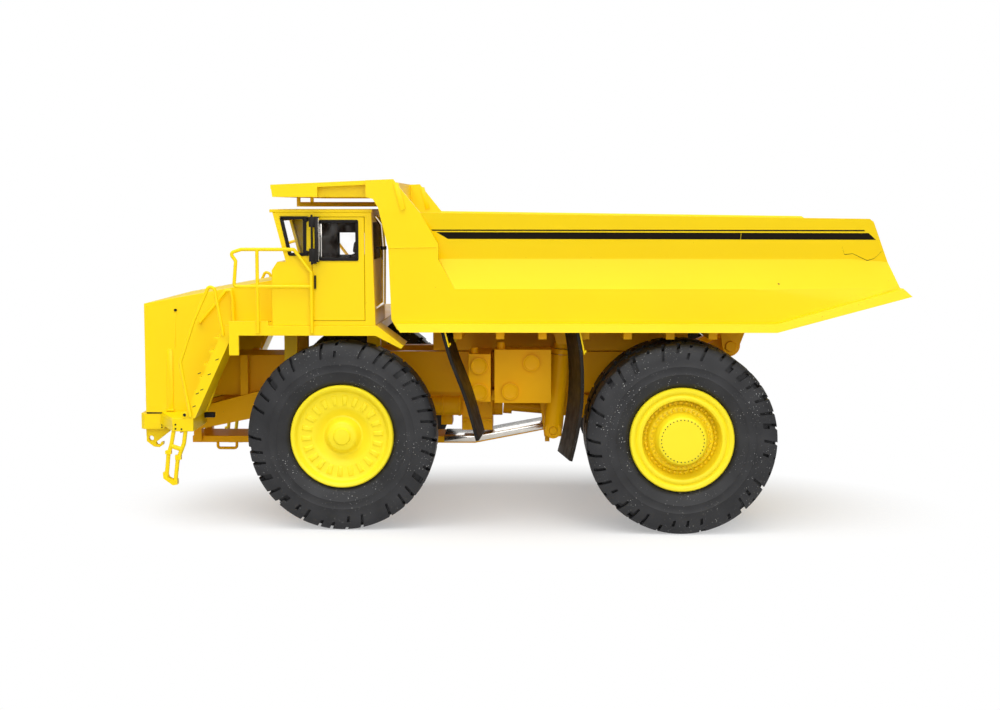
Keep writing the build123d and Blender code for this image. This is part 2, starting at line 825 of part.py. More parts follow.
def cab_shell():
    """Hollow cab with a nose box, cut for its windows and its door."""
    roof_low = cab_top
    outer = side_plate([
        (screen_head_x, roof_low), (screen_foot_x, screen_foot_z),
        (cab_nose_x + 1.6, screen_foot_z), (cab_nose_x, screen_foot_z - 2.4),
        (cab_nose_x, deck_top), (cab_rear_x, deck_top), (cab_rear_x - 1.0, roof_low),
    ], cab_y_low, cab_inner_y)
    inner = side_plate([
        (screen_head_x + cab_wall, roof_low + 1), (screen_head_x + cab_wall, roof_low),
        (screen_foot_x + cab_wall, screen_foot_z), (screen_foot_x + cab_wall, deck_top + 1.0),
        (cab_rear_x - cab_wall, deck_top + 1.0), (cab_rear_x - 1.0 - cab_wall, roof_low),
        (cab_rear_x - 1.0 - cab_wall, roof_low + 1),
    ], cab_y_low + cab_wall, cab_inner_y - cab_wall)
    body = outer - inner
    y_out = -deck_half - 1
    body = body - side_plate(quarter_window, y_out, cab_y_low + 1.9)
    body = body - side_plate(door_outline(0), y_out, cab_y_low + 1.9)
    body = body - side_plate(far_window, cab_inner_y - 2, cab_inner_y + 1)
    body = body - block(screen_head_x - 2, screen_foot_x + 3, cab_y_low + 2.6,
                        cab_inner_y - 2.6, screen_foot_z + 1.6, cab_top - 2.4)
    return body - block(cab_rear_x - 3, cab_rear_x + 1, cab_y_low + 3.0, cab_inner_y - 3.0,
                        screen_foot_z + 0.4, door_high - 1.6)


door_front_x = -7.9
door_rear_x = 7.0
door_low = 59.9
door_high = 89.2
door_gap = 0.12
window_low = door_high - 12.0
quarter_window = [
    (door_front_x - 8.7, door_high - 0.2), (door_front_x - 1.7, door_high - 0.2),
    (door_front_x - 1.9, window_low + 1.4), (door_front_x - 6.2, window_low + 1.4),
]
door_window = [
    (door_front_x + 2.0, door_high - 1.2), (door_rear_x - 2.1, door_high - 1.2),
    (door_rear_x - 2.1, window_low), (door_front_x + 2.0, window_low),
]
far_window = [
    (door_front_x + 3.9, door_high - 1.6), (door_rear_x - 0.8, door_high - 1.6),
    (door_rear_x - 0.8, window_low), (door_front_x + 3.9, window_low),
]


def door_outline(gap):
    """Outline of the door, drawn in by the gap."""
    return [
        (door_front_x + gap, door_low + gap), (door_front_x + gap, door_high - gap),
        (door_rear_x - gap, door_high - gap), (door_rear_x - gap, door_low + gap),
    ]


def cab_door():
    """Door panel in the cab's side, with its window cut."""
    panel = side_plate(door_outline(door_gap), cab_y_low, cab_y_low + cab_wall)
    return panel - side_plate(door_window, cab_y_low - 1, cab_y_low + cab_wall + 1)


glass_thick = 0.4


def cab_glass():
    """Window panes set in the middle of the cab walls."""
    y = cab_y_low + (cab_wall - glass_thick) / 2
    near = [side_plate(window, y, y + glass_thick) for window in (quarter_window, door_window)]
    y = cab_inner_y - (cab_wall + glass_thick) / 2
    far = side_plate(far_window, y, y + glass_thick)
    lean = (screen_foot_x - screen_head_x) / (cab_top - screen_foot_z)
    low = screen_foot_z + 1.6
    high = cab_top - 2.4
    x_low = screen_foot_x - (low - screen_foot_z) * lean + 0.25
    x_high = screen_foot_x - (high - screen_foot_z) * lean + 0.25
    screen = side_plate([(x_low, low), (x_high, high), (x_high + glass_thick, high),
                         (x_low + glass_thick, low)], cab_y_low + 2.6, cab_inner_y - 2.6)
    rear = block(cab_rear_x - 1.0 - glass_thick, cab_rear_x - 1.0, cab_y_low + 3.0,
                 cab_inner_y - 3.0, screen_foot_z + 0.4, door_high - 1.6)
    return near + [far, screen, rear]


def cab_roof():
    """Roof plate with a short visor over the windscreen."""
    roof = block(screen_head_x - 0.8, cab_rear_x - 0.8, cab_y_low - 0.2, cab_inner_y + 0.2,
                 cab_top, cab_top + roof_thick)
    return roof


seat_x = -1.5
seat_y = (cab_y_low + cab_inner_y) / 2 - 0.5


def cab_seat():
    """Driver's seat: pedestal, cushion and a raked back."""
    floor = deck_top + 1.0
    seat = floor + 7.4
    pedestal = block(seat_x - 2.4, seat_x + 2.4, seat_y - 2.6, seat_y + 2.6, floor, seat)
    cushion = block(seat_x - 4.2, seat_x + 3.6, seat_y - 4.4, seat_y + 4.4, seat, seat + 2.4)
    back = side_plate([(seat_x + 2.2, seat + 1.5), (seat_x + 4.0, seat + 1.5),
                       (seat_x + 6.0, seat + 15.0), (seat_x + 4.4, seat + 15.4)],
                      seat_y - 4.2, seat_y + 4.2)
    return joined([pedestal, cushion, back])


def cab_controls():
    """Dashboard, steering column and steering wheel."""
    floor = deck_top + 1.0
    sill = screen_foot_z
    dash = side_plate([
        (screen_foot_x + cab_wall, floor), (screen_foot_x + cab_wall, sill - 1.0),
        (screen_foot_x + 3.4, sill - 0.4), (screen_foot_x + 4.4, sill - 2.6),
        (screen_foot_x + 2.6, floor),
    ], seat_y - 9.0, seat_y + 9.0)
    hub = (screen_foot_x + 7.0, seat_y, sill - 1.2)
    column = bar((screen_foot_x + 3.6, seat_y, sill - 6.6), hub, 0.7)
    tilt = Plane(origin=hub, z_dir=(3.4, 0, 5.4))
    wheel = tilt * Torus(3.2, 0.45)
    spoke = tilt * Box(6.4, 0.8, 0.6)
    return joined([dash, column, spoke, wheel])


def mirrors():
    """Tall driver's mirror on two arms at the front of the door."""
    y = cab_y_low
    x = door_front_x
    head = block(x + 0.3, x + 2.5, y - 4.6, y - 1.2, window_low - 1.2, door_high + 0.8)
    arms = [bar((x - 1.3, y - 0.3, z), (x + 0.9, y - 2.4, z), 0.4)
            for z in (window_low + 1.8, door_high - 0.6)]
    return joined([head] + arms)


cleaner_radius = 4.6
cleaner_places = ((-12.0, deck_half - 10.0), (0.0, deck_half - 10.0))


def air_cleaners():
    """Two upright air cleaners on the far side of the deck."""
    pieces = []
    for x, y in cleaner_places:
        can = bar((x, y, deck_top), (x, y, deck_top + 14.0), cleaner_radius)
        cap = bar((x, y, deck_top + 14.0), (x, y, deck_top + 17.0), cleaner_radius * 0.6)
        pieces.append(can.fuse(cap))
    return pieces


tank_cap_radius = 2.4
tank_outer = 33.0
fuel_tank_long = 16.6
hydraulic_tank_long = 6.5
tank_spacing = 1.1
fuel_rear_x = hoist_foot_x - 0.8
fuel_front_x = fuel_rear_x - fuel_tank_long


def hydraulic_tank():
    """Narrow tank beside the frame, with two round covers and a filler."""
    x_high = fuel_front_x - tank_spacing
    x_low = x_high - hydraulic_tank_long
    low = rail_low - 0.5
    high = rail_top + 1.1
    pieces = [block(x_low, x_high, -tank_outer, -rail_outer, low, high)]
    cover_x = (x_low + x_high) / 2 - 0.1
    for z in (high - 3.5, low + 2.9):
        pieces.append(bar((cover_x, -tank_outer - 0.5, z), (cover_x, -tank_outer + 0.5, z),
                          tank_cap_radius))
    pieces.append(bar((x_low + 1.7, -tank_outer + 3.0, high - 0.1),
                      (x_low + 1.7, -tank_outer + 3.0, high + 1.7), 1.0))
    return joined(pieces)


def fuel_tank():
    """Square fuel tank on brackets from the frame, with round covers and a filler."""
    inner = -(hoist_y + hoist_radius + 0.8)
    low = rail_low - 0.8
    high = rail_top + 2.4
    pieces = [block(fuel_front_x, fuel_rear_x, -tank_outer, inner, low, high)]
    for x, z in ((fuel_rear_x - 5.8, high - 3.9), (fuel_front_x + 4.6, low + 3.5)):
        pieces.append(bar((x, -tank_outer - 0.5, z), (x, -tank_outer + 0.5, z), tank_cap_radius))
    pieces.append(bar((fuel_front_x + 1.9, -tank_outer + 3.0, high - 0.1),
                      (fuel_front_x + 1.9, -tank_outer + 3.0, high + 2.0), 1.1))
    for x in (fuel_front_x + 1.9, fuel_front_x + 8.9):
        pieces.append(block(x, x + 2.0, inner - 0.5, -rail_outer, rail_low + 2.5, rail_low + 5.5))
    return joined(pieces)


def tail_floor(x):
    """Height of the bed's underside at x."""
    if x <= tail_kink_x:
        return bed_floor
    slope = (tail_tip_z - bed_floor) / (tail_tip_x - tail_kink_x)
    return bed_floor + (x - tail_kink_x) * slope


def bed_section(inset, low, high):
    """The bed's cross section without its groove, moved in by the wall."""
    half_low = bed_half_low - inset
    half_fold = bed_half_fold - inset
    half_top = bed_half_top - inset
    return [
        (-half_low, low), (-half_fold, bed_fold_z), (-half_top, bed_top_front), (-half_top, high),
        (half_top, high), (half_top, bed_top_front), (half_fold, bed_fold_z), (half_low, low),
    ]


def groove(inset):
    """The long fold pressed into a side wall and its run-out at the tail, to cut away."""
    crease = groove_crease_half - inset
    upper_lean = (bed_half_top - groove_crease_half) / (bed_top_front - groove_crease_z)
    lower_lean = (bed_half_low - groove_crease_half) / (groove_crease_z - groove_low_z)
    reach = bed_half_top + 6
    foot_z = bed_floor
    head_z = bed_top_front
    above = cross_plate([
        (crease - (groove_crease_z - foot_z) * upper_lean, foot_z),
        (bed_half_top - inset, head_z), (reach, head_z), (reach, foot_z),
    ], groove_front_x, tail_tip_x + 6)
    below = cross_plate([
        (bed_half_low - inset, groove_low_z),
        (crease - (head_z - groove_crease_z) * lower_lean, head_z),
        (reach, head_z), (reach, groove_low_z),
    ], groove_front_x, tail_tip_x + 6)
    shift = inset * 0.8
    window = side_plate([
        (groove_front_x - shift, head_z), (groove_front_x + 4.9 - shift, groove_crease_z + 4.3),
        (groove_front_x + 4.9 - shift, groove_crease_z), (groove_front_x + 9.4 - shift, groove_low_z),
        (tail_tip_x + 6, groove_low_z), (tail_tip_x + 6, head_z),
    ], 30, reach + 1)
    start = Vector(fade_start_x, bed_half_low - inset, groove_low_z)
    end = Vector(fade_end_x, crease, groove_crease_z)
    foot = Vector(fade_end_x, bed_half_low - inset, tail_floor(fade_end_x) + bed_flange_high)
    lean = (end - start).cross(foot - start)
    run_out = Plane(origin=start, z_dir=lean) * Box(
        200, 200, 30, align=(Align.CENTER, Align.CENTER, Align.MIN))
    tail_window = side_plate([
        (fade_start_x - 4, tail_floor(fade_start_x) + bed_flange_high + 2),
        (tail_kink_x, bed_floor + bed_flange_high + 2),
        (tail_kink_x, bed_floor + bed_flange_high),
        (tail_tip_x + 6, tail_floor(tail_tip_x + 6) + bed_flange_high),
        (tail_tip_x + 6, head_z), (fade_start_x - 4, head_z),
    ], 30, reach + 1)
    long_fold = above & below & window
    return long_fold + (above & run_out & tail_window)


groove_front_x = 23.0
fade_start_x = tail_kink_x - 2.1
fade_end_x = fade_start_x + 22.8


def bed_shell():
    """Load bed: floor, side walls with their groove, front wall, tail and canopy."""
    silhouette = [
        (bed_front_x + 1.5, bed_floor + 0.7), (bed_front_x + 2.6, bed_floor),
        (tail_kink_x, bed_floor), (tail_tip_x, tail_tip_z), (bed_rear_low_x, tail_tip_z + 2.3),
        (bed_rear_top_x + 0.3, bed_top_rear - 0.8), (bed_rear_top_x - 0.9, bed_top_rear),
        (groove_front_x, bed_top_front), (canopy_rear_x, canopy_rear_top),
        (8.0, canopy_rear_top - 0.3), (8.0, canopy_low), (10.0, canopy_low - 0.6),
        (11.4, 91.8), (bed_front_x - 0.7, bed_fold_z), (bed_front_x, 60.7),
    ]
    body = side_plate(silhouette, -beyond_side, beyond_side)
    body = body & cross_plate(bed_section(0, bed_floor, canopy_rear_top + 1), -30, tail_tip_x + 1)
    for side in (1, -1):
        cutter = groove(0)
        body = body - (cutter if side == 1 else other_side(cutter))
    cavity = side_plate([
        (bed_front_x + 1.6, bed_floor + bed_wall), (tail_kink_x - 0.2, bed_floor + bed_wall),
        (tail_tip_x + 6, tail_floor(tail_tip_x + 6) + bed_wall + 0.9), (tail_tip_x + 6, above_canopy),
        (canopy_rear_x - 4.0, above_canopy), (12.8, 92.2), (bed_front_x + 0.6, bed_fold_z),
    ], -beyond_side, beyond_side)
    hollow = cross_plate(bed_section(bed_wall, bed_floor, above_canopy), 0, tail_tip_x + 8)
    for side in (1, -1):
        cutter = groove(bed_wall)
        hollow = hollow - (cutter if side == 1 else other_side(cutter))
    body = body - (cavity & hollow)
    flange_points = [
        (bed_front_x + 1.0, bed_floor + bed_flange_high), (bed_front_x + 2.6, bed_floor),
        (tail_kink_x, bed_floor), (tail_tip_x, tail_tip_z), (bed_rear_low_x, tail_tip_z + 2.3),
        (tail_kink_x, bed_floor + bed_flange_high),
    ]
    pieces = [body]
    flange = side_plate(flange_points, bed_half_low - bed_wall, bed_flange_half)
    pieces += both_sides(flange) + floor_coves()
    pieces += canopy()
    return joined(pieces)


floor_cove = 1.0
cove_sink = 0.3


def floor_coves():
    """Slanted strips in the corners between the load floor and the walls."""
    floor_top = bed_floor + bed_wall
    wall_y = bed_half_low - bed_wall + cove_sink
    wall_x = bed_front_x + 1.6 - cove_sink
    side = cross_plate([
        (wall_y, floor_top), (wall_y, floor_top + floor_cove),
        (wall_y - cove_sink - floor_cove, floor_top),
    ], wall_x, tail_kink_x + 3.6)
    front = side_plate([
        (wall_x, floor_top), (wall_x, floor_top + floor_cove),
        (wall_x + cove_sink + floor_cove, floor_top),
    ], -wall_y, wall_y)
    return both_sides(side) + [front]


canopy_plate = 1.2
canopy_half = bed_half_low + 0.2
canopy_skirt_half = canopy_half - 2.7
canopy_brow_x = -5.5


def canopy_top_at(x):
    """Height of the canopy's top at x."""
    slope = (canopy_rear_top - canopy_front_top) / (canopy_rear_x - canopy_front_x)
    return canopy_front_top + (x - canopy_front_x) * slope


def canopy():
    """Roof over the cab: top plate, deep brow in front and set-in side skirts."""
    front = canopy_front_x
    plate = side_plate([
        (front, canopy_top_at(front)), (9.0, canopy_top_at(9.0)),
        (9.0, canopy_top_at(9.0) - canopy_plate), (front, canopy_top_at(front) - canopy_plate),
    ], -canopy_half, canopy_half)
    brow = side_plate([
        (front, canopy_top_at(front)), (canopy_brow_x, canopy_top_at(canopy_brow_x)),
        (canopy_brow_x, canopy_low), (front + 0.5, canopy_low),
    ], canopy_half - 1.2, canopy_half)
    beam = side_plate([
        (front, canopy_top_at(front)), (front + 1.6, canopy_top_at(front)),
        (front + 2.0, canopy_low), (front + 0.5, canopy_low),
    ], -canopy_half, canopy_half)
    skirt = side_plate([
        (front + 1.0, canopy_top_at(front) - 0.5), (9.0, canopy_top_at(9.0) - 0.5),
        (9.0, canopy_low), (front + 1.0, canopy_low),
    ], canopy_skirt_half - 1.0, canopy_skirt_half)
    stay = side_plate([
        (front + 1.7, canopy_top_at(front) - 0.5), (front + 1.7, stay_low),
        (bed_front_x - 3.0, stay_low), (bed_front_x - 3.6, stay_low + stay_high),
        (front + 2.7, stay_low + stay_high), (front + 2.7, canopy_top_at(front) - 0.5),
    ], stay_y - 0.6, stay_y + 0.6)
    return [plate, beam] + both_sides(brow) + both_sides(skirt) + both_sides(stay)


stay_y = 15.0
stay_low = 92.0
stay_high = 1.4


ear_inner = 15.0
ear_outer = 17.0


rib_count = 7
rib_pitch = 12.0
rib_thick = 2.4
rib_high = 2.6
rib_inset = 6.0


def bed_ribs():
    """Cross ribs under the bed floor, spaced so that the hoist heads stand between two."""
    half = bed_half_low - rib_inset
    first = hoist_head_x - 2.5 * rib_pitch
    ribs = []
    for index in range(rib_count):
        x = first + index * rib_pitch
        ribs.append(block(x - rib_thick / 2, x + rib_thick / 2, -half, half,
                          bed_floor - rib_high, bed_floor))
    return ribs


def bed_beams():
    """Longitudinal beams below the ribs, pivot ears and hoist lugs."""
    low = rail_top + beam_gap
    beam = block(24.0, pivot_x - 12.5, rail_inner, rail_outer, low, bed_floor - rib_high)
    pieces = both_sides(beam)
    ear = side_plate([
        (pivot_x - 3.4, bed_floor), (pivot_x - 2.6, pivot_z), (pivot_x - 1.6, pivot_z - 2.3),
        (pivot_x + 1.4, pivot_z - 2.3), (pivot_x + 2.6, pivot_z), (pivot_x + 5.4, bed_floor),
    ], ear_inner, ear_outer)
    ear = ear - bar((pivot_x, ear_inner - 1, pivot_z), (pivot_x, ear_outer + 1, pivot_z),
                    pivot_radius + running_gap)
    lug_in = hoist_y + hoist_radius + 0.3
    lug = side_plate([
        (hoist_head_x - 3.4, bed_floor), (hoist_head_x - 1.6, hoist_head_z - 1.8),
        (hoist_head_x + 1.6, hoist_head_z - 1.8), (hoist_head_x + 3.4, bed_floor),
    ], lug_in, lug_in + 1.5)
    return pieces + both_sides(ear) + both_sides(lug)


flap_half_in = tank_outer + 3.0
flap_half_out = bed_half_low
front_flap_x = 28.5


def flap(outline, yaw):
    """A hanging flap from its outer edge's outline; yaw shifts its inner edge along X."""
    face = Face(Wire.make_polygon([(x, flap_half_out, z) for x, z in outline]))
    return Solid.extrude(face, Vector(yaw, flap_half_in - flap_half_out, 0))


def front_flap():
    """Rubber flap behind the front wheel, hung from the bed and bent back."""
    x = front_flap_x
    return flap([
        (x, bed_floor), (x + 1.0, bed_floor), (x + 3.7, 48.6), (x + 7.1, 40.6),
        (x + 10.8, 26.2), (x + 9.6, 26.2), (x + 5.9, 40.0), (x + 2.6, 47.8),
    ], 1.2)


def rear_flap():
    """Rubber flap in front of the rear wheels, hung from the bed."""
    x = wheelbase - 30.0
    return flap([
        (x + 0.1, bed_floor), (x + 1.0, bed_floor), (x + 2.0, 49.6), (x + 2.0, 39.0),
        (x + 1.1, 32.8), (x - 0.1, 25.4), (x - 1.0, 20.6), (x - 1.9, 21.0), (x - 1.0, 25.6),
        (x + 0.2, 33.0), (x + 1.1, 39.2), (x + 1.1, 49.4),
    ], -3.0)


hoist_length = math.hypot(hoist_head_x - hoist_foot_x, hoist_head_z - hoist_foot_z)
hoist_lean = math.degrees(math.atan2(hoist_head_x - hoist_foot_x, hoist_head_z - hoist_foot_z))
stage_radius = hoist_radius - 0.6
rod_radius = stage_radius - 0.7
tube_gap = 0.1


def leaned(piece):
    """Move a cylinder drawn upright at the origin to its place between its pins."""
    return Pos(hoist_foot_x, hoist_y, hoist_foot_z) * Rot(0, hoist_lean, 0) * piece


def upright(z_low, z_high, radius):
    """A round bar along Z at the origin."""
    return bar((0, 0, z_low), (0, 0, z_high), radius)


barrel_top = hoist_length - 5.2
stage_top = hoist_length - 3.4


def hoist_barrel():
    """Outer tube of a hoist cylinder, with its foot eye and top collar."""
    eye = bar((0, -hoist_radius, 0), (0, hoist_radius - 0.3, 0), 2.4)
    tube_body = upright(0.5, barrel_top, hoist_radius)
    body = eye.fuse(tube_body)
    body = body - upright(2.0, barrel_top + 1, stage_radius + tube_gap)
    return leaned(body - bar((0, -5, 0), (0, 5, 0), hoist_pin_radius + running_gap))


def hoist_stage():
    """Middle tube of a hoist cylinder."""
    body = upright(2.2, stage_top, stage_radius)
    return leaned(body - upright(3.4, stage_top + 1, rod_radius + tube_gap))


def hoist_rod():
    """Rod of a hoist cylinder, with the eye beside the bed's lug."""
    rod = upright(3.6, hoist_length, rod_radius)
    eye = bar((0, -rod_radius - 0.3, hoist_length), (0, hoist_radius, hoist_length), 1.9)
    return leaned(rod.fuse(eye))


def paired(name, piece):
    """A left and a right node of the same piece, drawn on the plus Y side."""
    return {name + "_right": [piece], name + "_left": [other_side(piece)]}


nodes = {
    "frame": [frame()],
    "frame_brackets": frame_brackets(),
    "hoist_pins": both_sides(hoist_pin()),
    "bumper": [bumper()],
    "tow_hooks": tow_hooks(),
    "hood": [hood()],
    "grille": [grille()],
    "headlamps": headlamps(),
    "engine": [engine()],
    "transmission": [transmission()],
    "drive_shaft": [drive_shaft()],
    "belly_plate": [belly_plate()],
    "front_axle": [front_axle()],
    "front_struts": both_sides(strut(0)),
    "rear_axle": [rear_axle()],
    "rear_struts": both_sides(strut(wheelbase + rear_strut_x)),
    "rear_links": [rear_links()],
    "deck": [deck()],
    "cab_shell": [cab_shell()],
    "cab_door": [cab_door()],
    "cab_glass": cab_glass(),
    "cab_roof": [cab_roof()],
    "cab_seat": [cab_seat()],
    "cab_controls": [cab_controls()],
    "mirrors": [mirrors()],
    "air_cleaners": air_cleaners(),
    "hydraulic_tank": [hydraulic_tank()],
    "fuel_tank": [fuel_tank()],
    "bed_shell": [bed_shell()],
    "bed_beams": bed_beams(),
    "bed_ribs": bed_ribs(),
    "front_flaps": both_sides(front_flap()),
    "rear_flaps": both_sides(rear_flap()),
    "tie_rod": [tie_rod()],
}
nodes.update(paired("railing", railing()))
nodes.update(paired("stair", stair()))
nodes["stair_rails_right"] = stair_rail()
nodes["stair_rails_left"] = [other_side(piece) for piece in stair_rail()]
nodes.update(paired("ladder", ladder()))
nodes.update(paired("knuckle", knuckle()))
nodes.update(paired("front_rim", front_rim()))
nodes.update(paired("front_tyre", tyre(0, front_track_half)))
nodes.update(paired("rear_rims", rear_rims()))
nodes["rear_tyres_right"] = rear_tyres()
nodes["rear_tyres_left"] = [other_side(piece) for piece in rear_tyres()]
nodes.update(paired("hoist_barrel", hoist_barrel()))
nodes.update(paired("hoist_stage", hoist_stage()))
nodes.update(paired("hoist_rod", hoist_rod()))

to_middle = Pos(-(nose_x + tail_tip_x) / 2, 0, 0)
for name, pieces in nodes.items():
    export_step(to_middle * Compound(pieces), f"parts/{name}.step")
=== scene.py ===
import bmesh
import bpy
import json
import math
from mathutils import Matrix, Vector

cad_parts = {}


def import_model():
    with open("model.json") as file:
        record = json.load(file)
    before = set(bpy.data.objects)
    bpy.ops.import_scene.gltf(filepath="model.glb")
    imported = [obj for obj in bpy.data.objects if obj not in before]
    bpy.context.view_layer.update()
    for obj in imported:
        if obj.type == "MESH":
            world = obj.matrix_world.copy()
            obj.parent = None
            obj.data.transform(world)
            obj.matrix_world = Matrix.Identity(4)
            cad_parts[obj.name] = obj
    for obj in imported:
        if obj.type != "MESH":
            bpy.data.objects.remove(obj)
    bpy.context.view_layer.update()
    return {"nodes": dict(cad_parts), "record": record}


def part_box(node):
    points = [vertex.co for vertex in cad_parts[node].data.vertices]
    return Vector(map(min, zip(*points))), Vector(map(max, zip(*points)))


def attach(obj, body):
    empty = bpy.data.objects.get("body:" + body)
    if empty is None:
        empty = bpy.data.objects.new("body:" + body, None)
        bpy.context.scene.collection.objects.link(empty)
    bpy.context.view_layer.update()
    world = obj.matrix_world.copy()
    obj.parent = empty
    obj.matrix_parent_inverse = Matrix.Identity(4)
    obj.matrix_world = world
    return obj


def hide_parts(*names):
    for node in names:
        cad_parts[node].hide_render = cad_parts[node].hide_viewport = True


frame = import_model()

# Places below are in millimetres: X from the front axle to the tail, Y from the middle
# line with the driver's side at minus Y, Z from the floor. at() turns them to the frame.
MM = 0.001
axle_x = sum(corner.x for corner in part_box("front_tyre_left")) / 2


def at(x, y, z):
    """A place in the truck's own millimetres as a point of the frame."""
    return Vector((axle_x + x * MM, y * MM, z * MM))


def truck_mm(point):
    """A point of the frame as a place in the truck's own millimetres."""
    return Vector(((point.x - axle_x) / MM, point.y / MM, point.z / MM))


# Modelling helpers

# Corners closer than this, in millimetres, are merged
merge_within = 0.001
# Edges that bend more than this, in degrees, are rounded when a piece is dressed
bevel_above = 30


def object_mode():
    """Leave edit mode with nothing selected."""
    if bpy.context.mode != "OBJECT":
        bpy.ops.object.mode_set(mode="OBJECT")
    bpy.ops.object.select_all(action="DESELECT")


def alone(body):
    """Make one object the only selected and the active one."""
    object_mode()
    body.select_set(True)
    bpy.context.view_layer.objects.active = body


def edit(body, kind="FACE"):
    """Open one object in edit mode with nothing selected."""
    alone(body)
    bpy.ops.object.mode_set(mode="EDIT")
    bpy.ops.mesh.select_mode(type=kind)
    bpy.ops.mesh.select_all(action="DESELECT")


def pick(body, wanted, kind="FACE"):
    """Select the faces, edges or corners of the edited mesh whose place and normal pass."""
    bpy.ops.mesh.select_mode(type=kind)
    bpy.ops.mesh.select_all(action="DESELECT")
    work = bmesh.from_edit_mesh(body.data)
    place = body.matrix_world
    turn = place.to_3x3().normalized()
    if kind == "FACE":
        for face in work.faces:
            if wanted(truck_mm(place @ face.calc_center_median()), turn @ face.normal):
                face.select_set(True)
    elif kind == "EDGE":
        for edge in work.edges:
            ends = [truck_mm(place @ corner.co) for corner in edge.verts]
            if wanted((ends[0] + ends[1]) / 2, (ends[1] - ends[0]).normalized()):
                edge.select_set(True)
    else:
        for corner in work.verts:
            if wanted(truck_mm(place @ corner.co), turn @ corner.normal):
                corner.select_set(True)
    bmesh.update_edit_mesh(body.data)


def push(x, y, z):
    """Extrude what is selected along a way in millimetres."""
    bpy.ops.mesh.extrude_region_move(TRANSFORM_OT_translate={"value": (x * MM, y * MM, z * MM)})


def apply_place(body):
    """Put an object's place, turn and size into its mesh."""
    alone(body)
    bpy.ops.object.transform_apply(location=True, rotation=True, scale=True)


def modified(body, kind, **settings):
    """Add a modifier, set it and apply it."""
    alone(body)
    made = body.modifiers.new("step", kind)
    for key, value in settings.items():
        setattr(made, key, value)
    bpy.ops.object.modifier_apply(modifier=made.name)


def outward(body, merge=merge_within):
    """Merge doubled corners and turn every face outward."""
    edit(body)
    bpy.ops.mesh.select_all(action="SELECT")
    bpy.ops.mesh.remove_doubles(threshold=merge * MM)
    bpy.ops.mesh.normals_make_consistent(inside=False)
    object_mode()


def joined(bodies):
    """Join several objects to one."""
    object_mode()
    for body in bodies:
        body.select_set(True)
    bpy.context.view_layer.objects.active = bodies[0]
    bpy.ops.object.join()
    return bodies[0]


def copied(body, turn):
    """A copy with its own mesh, moved or turned by a matrix."""
    twin = body.copy()
    twin.data = body.data.copy()
    bpy.context.scene.collection.objects.link(twin)
    twin.matrix_world = turn @ body.matrix_world
    apply_place(twin)
    return twin


def other_side(body):
    """The mirror image of a placed piece on the other side of the truck."""
    twin = copied(body, Matrix.Scale(-1, 4, (0, 1, 0)))
    outward(twin)
    return twin


def dress(body, name, finish, slot, rides, replaces=(), edge=0.0, steps=2, smooth=35):
    """Finish a piece: place, rounded edges, shading, material and what it rides on."""
    apply_place(body)
    if edge:
        modified(body, "BEVEL", width=edge * MM, segments=steps, limit_method="ANGLE",
                 angle_limit=math.radians(bevel_above), harden_normals=False)
    alone(body)
    bpy.ops.object.shade_smooth_by_angle(angle=math.radians(smooth))
    body.name = name
    body.data.name = name
    body.data.materials.clear()
    body.data.materials.append(finish)
    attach(body, rides)
    if replaces:
        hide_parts(*replaces)


def pair(body, name, finish, slot, rides, replaces=(), **finishing):
    """Dress a piece and its mirror image; {side} in the names becomes left and right."""
    apply_place(body)
    twin = other_side(body)
    for side, one in (("left", body), ("right", twin)):
        dress(one, name.format(side=side), finish, slot, rides.format(side=side),
              [node_name.format(side=side) for node_name in replaces], **finishing)


def block(low, high):
    """A box between two corners."""
    object_mode()
    middle = [(a + b) / 2 for a, b in zip(low, high)]
    size = [(b - a) * MM for a, b in zip(low, high)]
    bpy.ops.mesh.primitive_cube_add(size=1, location=at(*middle), scale=size)
    body = bpy.context.object
    apply_place(body)
    return body


def rod(start, end, radius, sides=24):
    """A round bar from one place to another."""
    object_mode()
    line = at(*end) - at(*start)
    bpy.ops.mesh.primitive_cylinder_add(
        vertices=sides, radius=radius * MM, depth=line.length,
        location=(at(*start) + at(*end)) / 2, rotation=line.to_track_quat("Z", "Y").to_euler())
    body = bpy.context.object
    apply_place(body)
    return body


def stud(x, z, foot_and_head, radius, sides):
    """A round bar across the truck, from the Y of its foot to the Y of its head."""
    foot, head = foot_and_head
    return rod((x, foot, z), (x, head, z), radius, sides)


def sheet(points):
    """A flat face with its corners at the given places."""
    object_mode()
    bpy.ops.mesh.primitive_circle_add(vertices=len(points), radius=MM, fill_type="NGON",
                                      location=at(*points[0]))
    body = bpy.context.object
    apply_place(body)
    edit(body, "VERT")
    for index, point in enumerate(points):
        bpy.ops.mesh.select_all(action="DESELECT")
        work = bmesh.from_edit_mesh(body.data)
        work.verts.ensure_lookup_table()
        corner = work.verts[index]
        corner.select_set(True)
        way = at(*point) - corner.co
        bmesh.update_edit_mesh(body.data)
        bpy.ops.transform.translate(value=way)
    object_mode()
    return body


def plate(points, way):
    """A plate: a flat face drawn out along a way."""
    body = sheet(points)
    edit(body)
    bpy.ops.mesh.select_all(action="SELECT")
    push(*way)
    outward(body)
    return body


def in_side_view(points, y):
    """Corners given as (x, z) on a plane at y."""
    return [(x, y, z) for x, z in points]


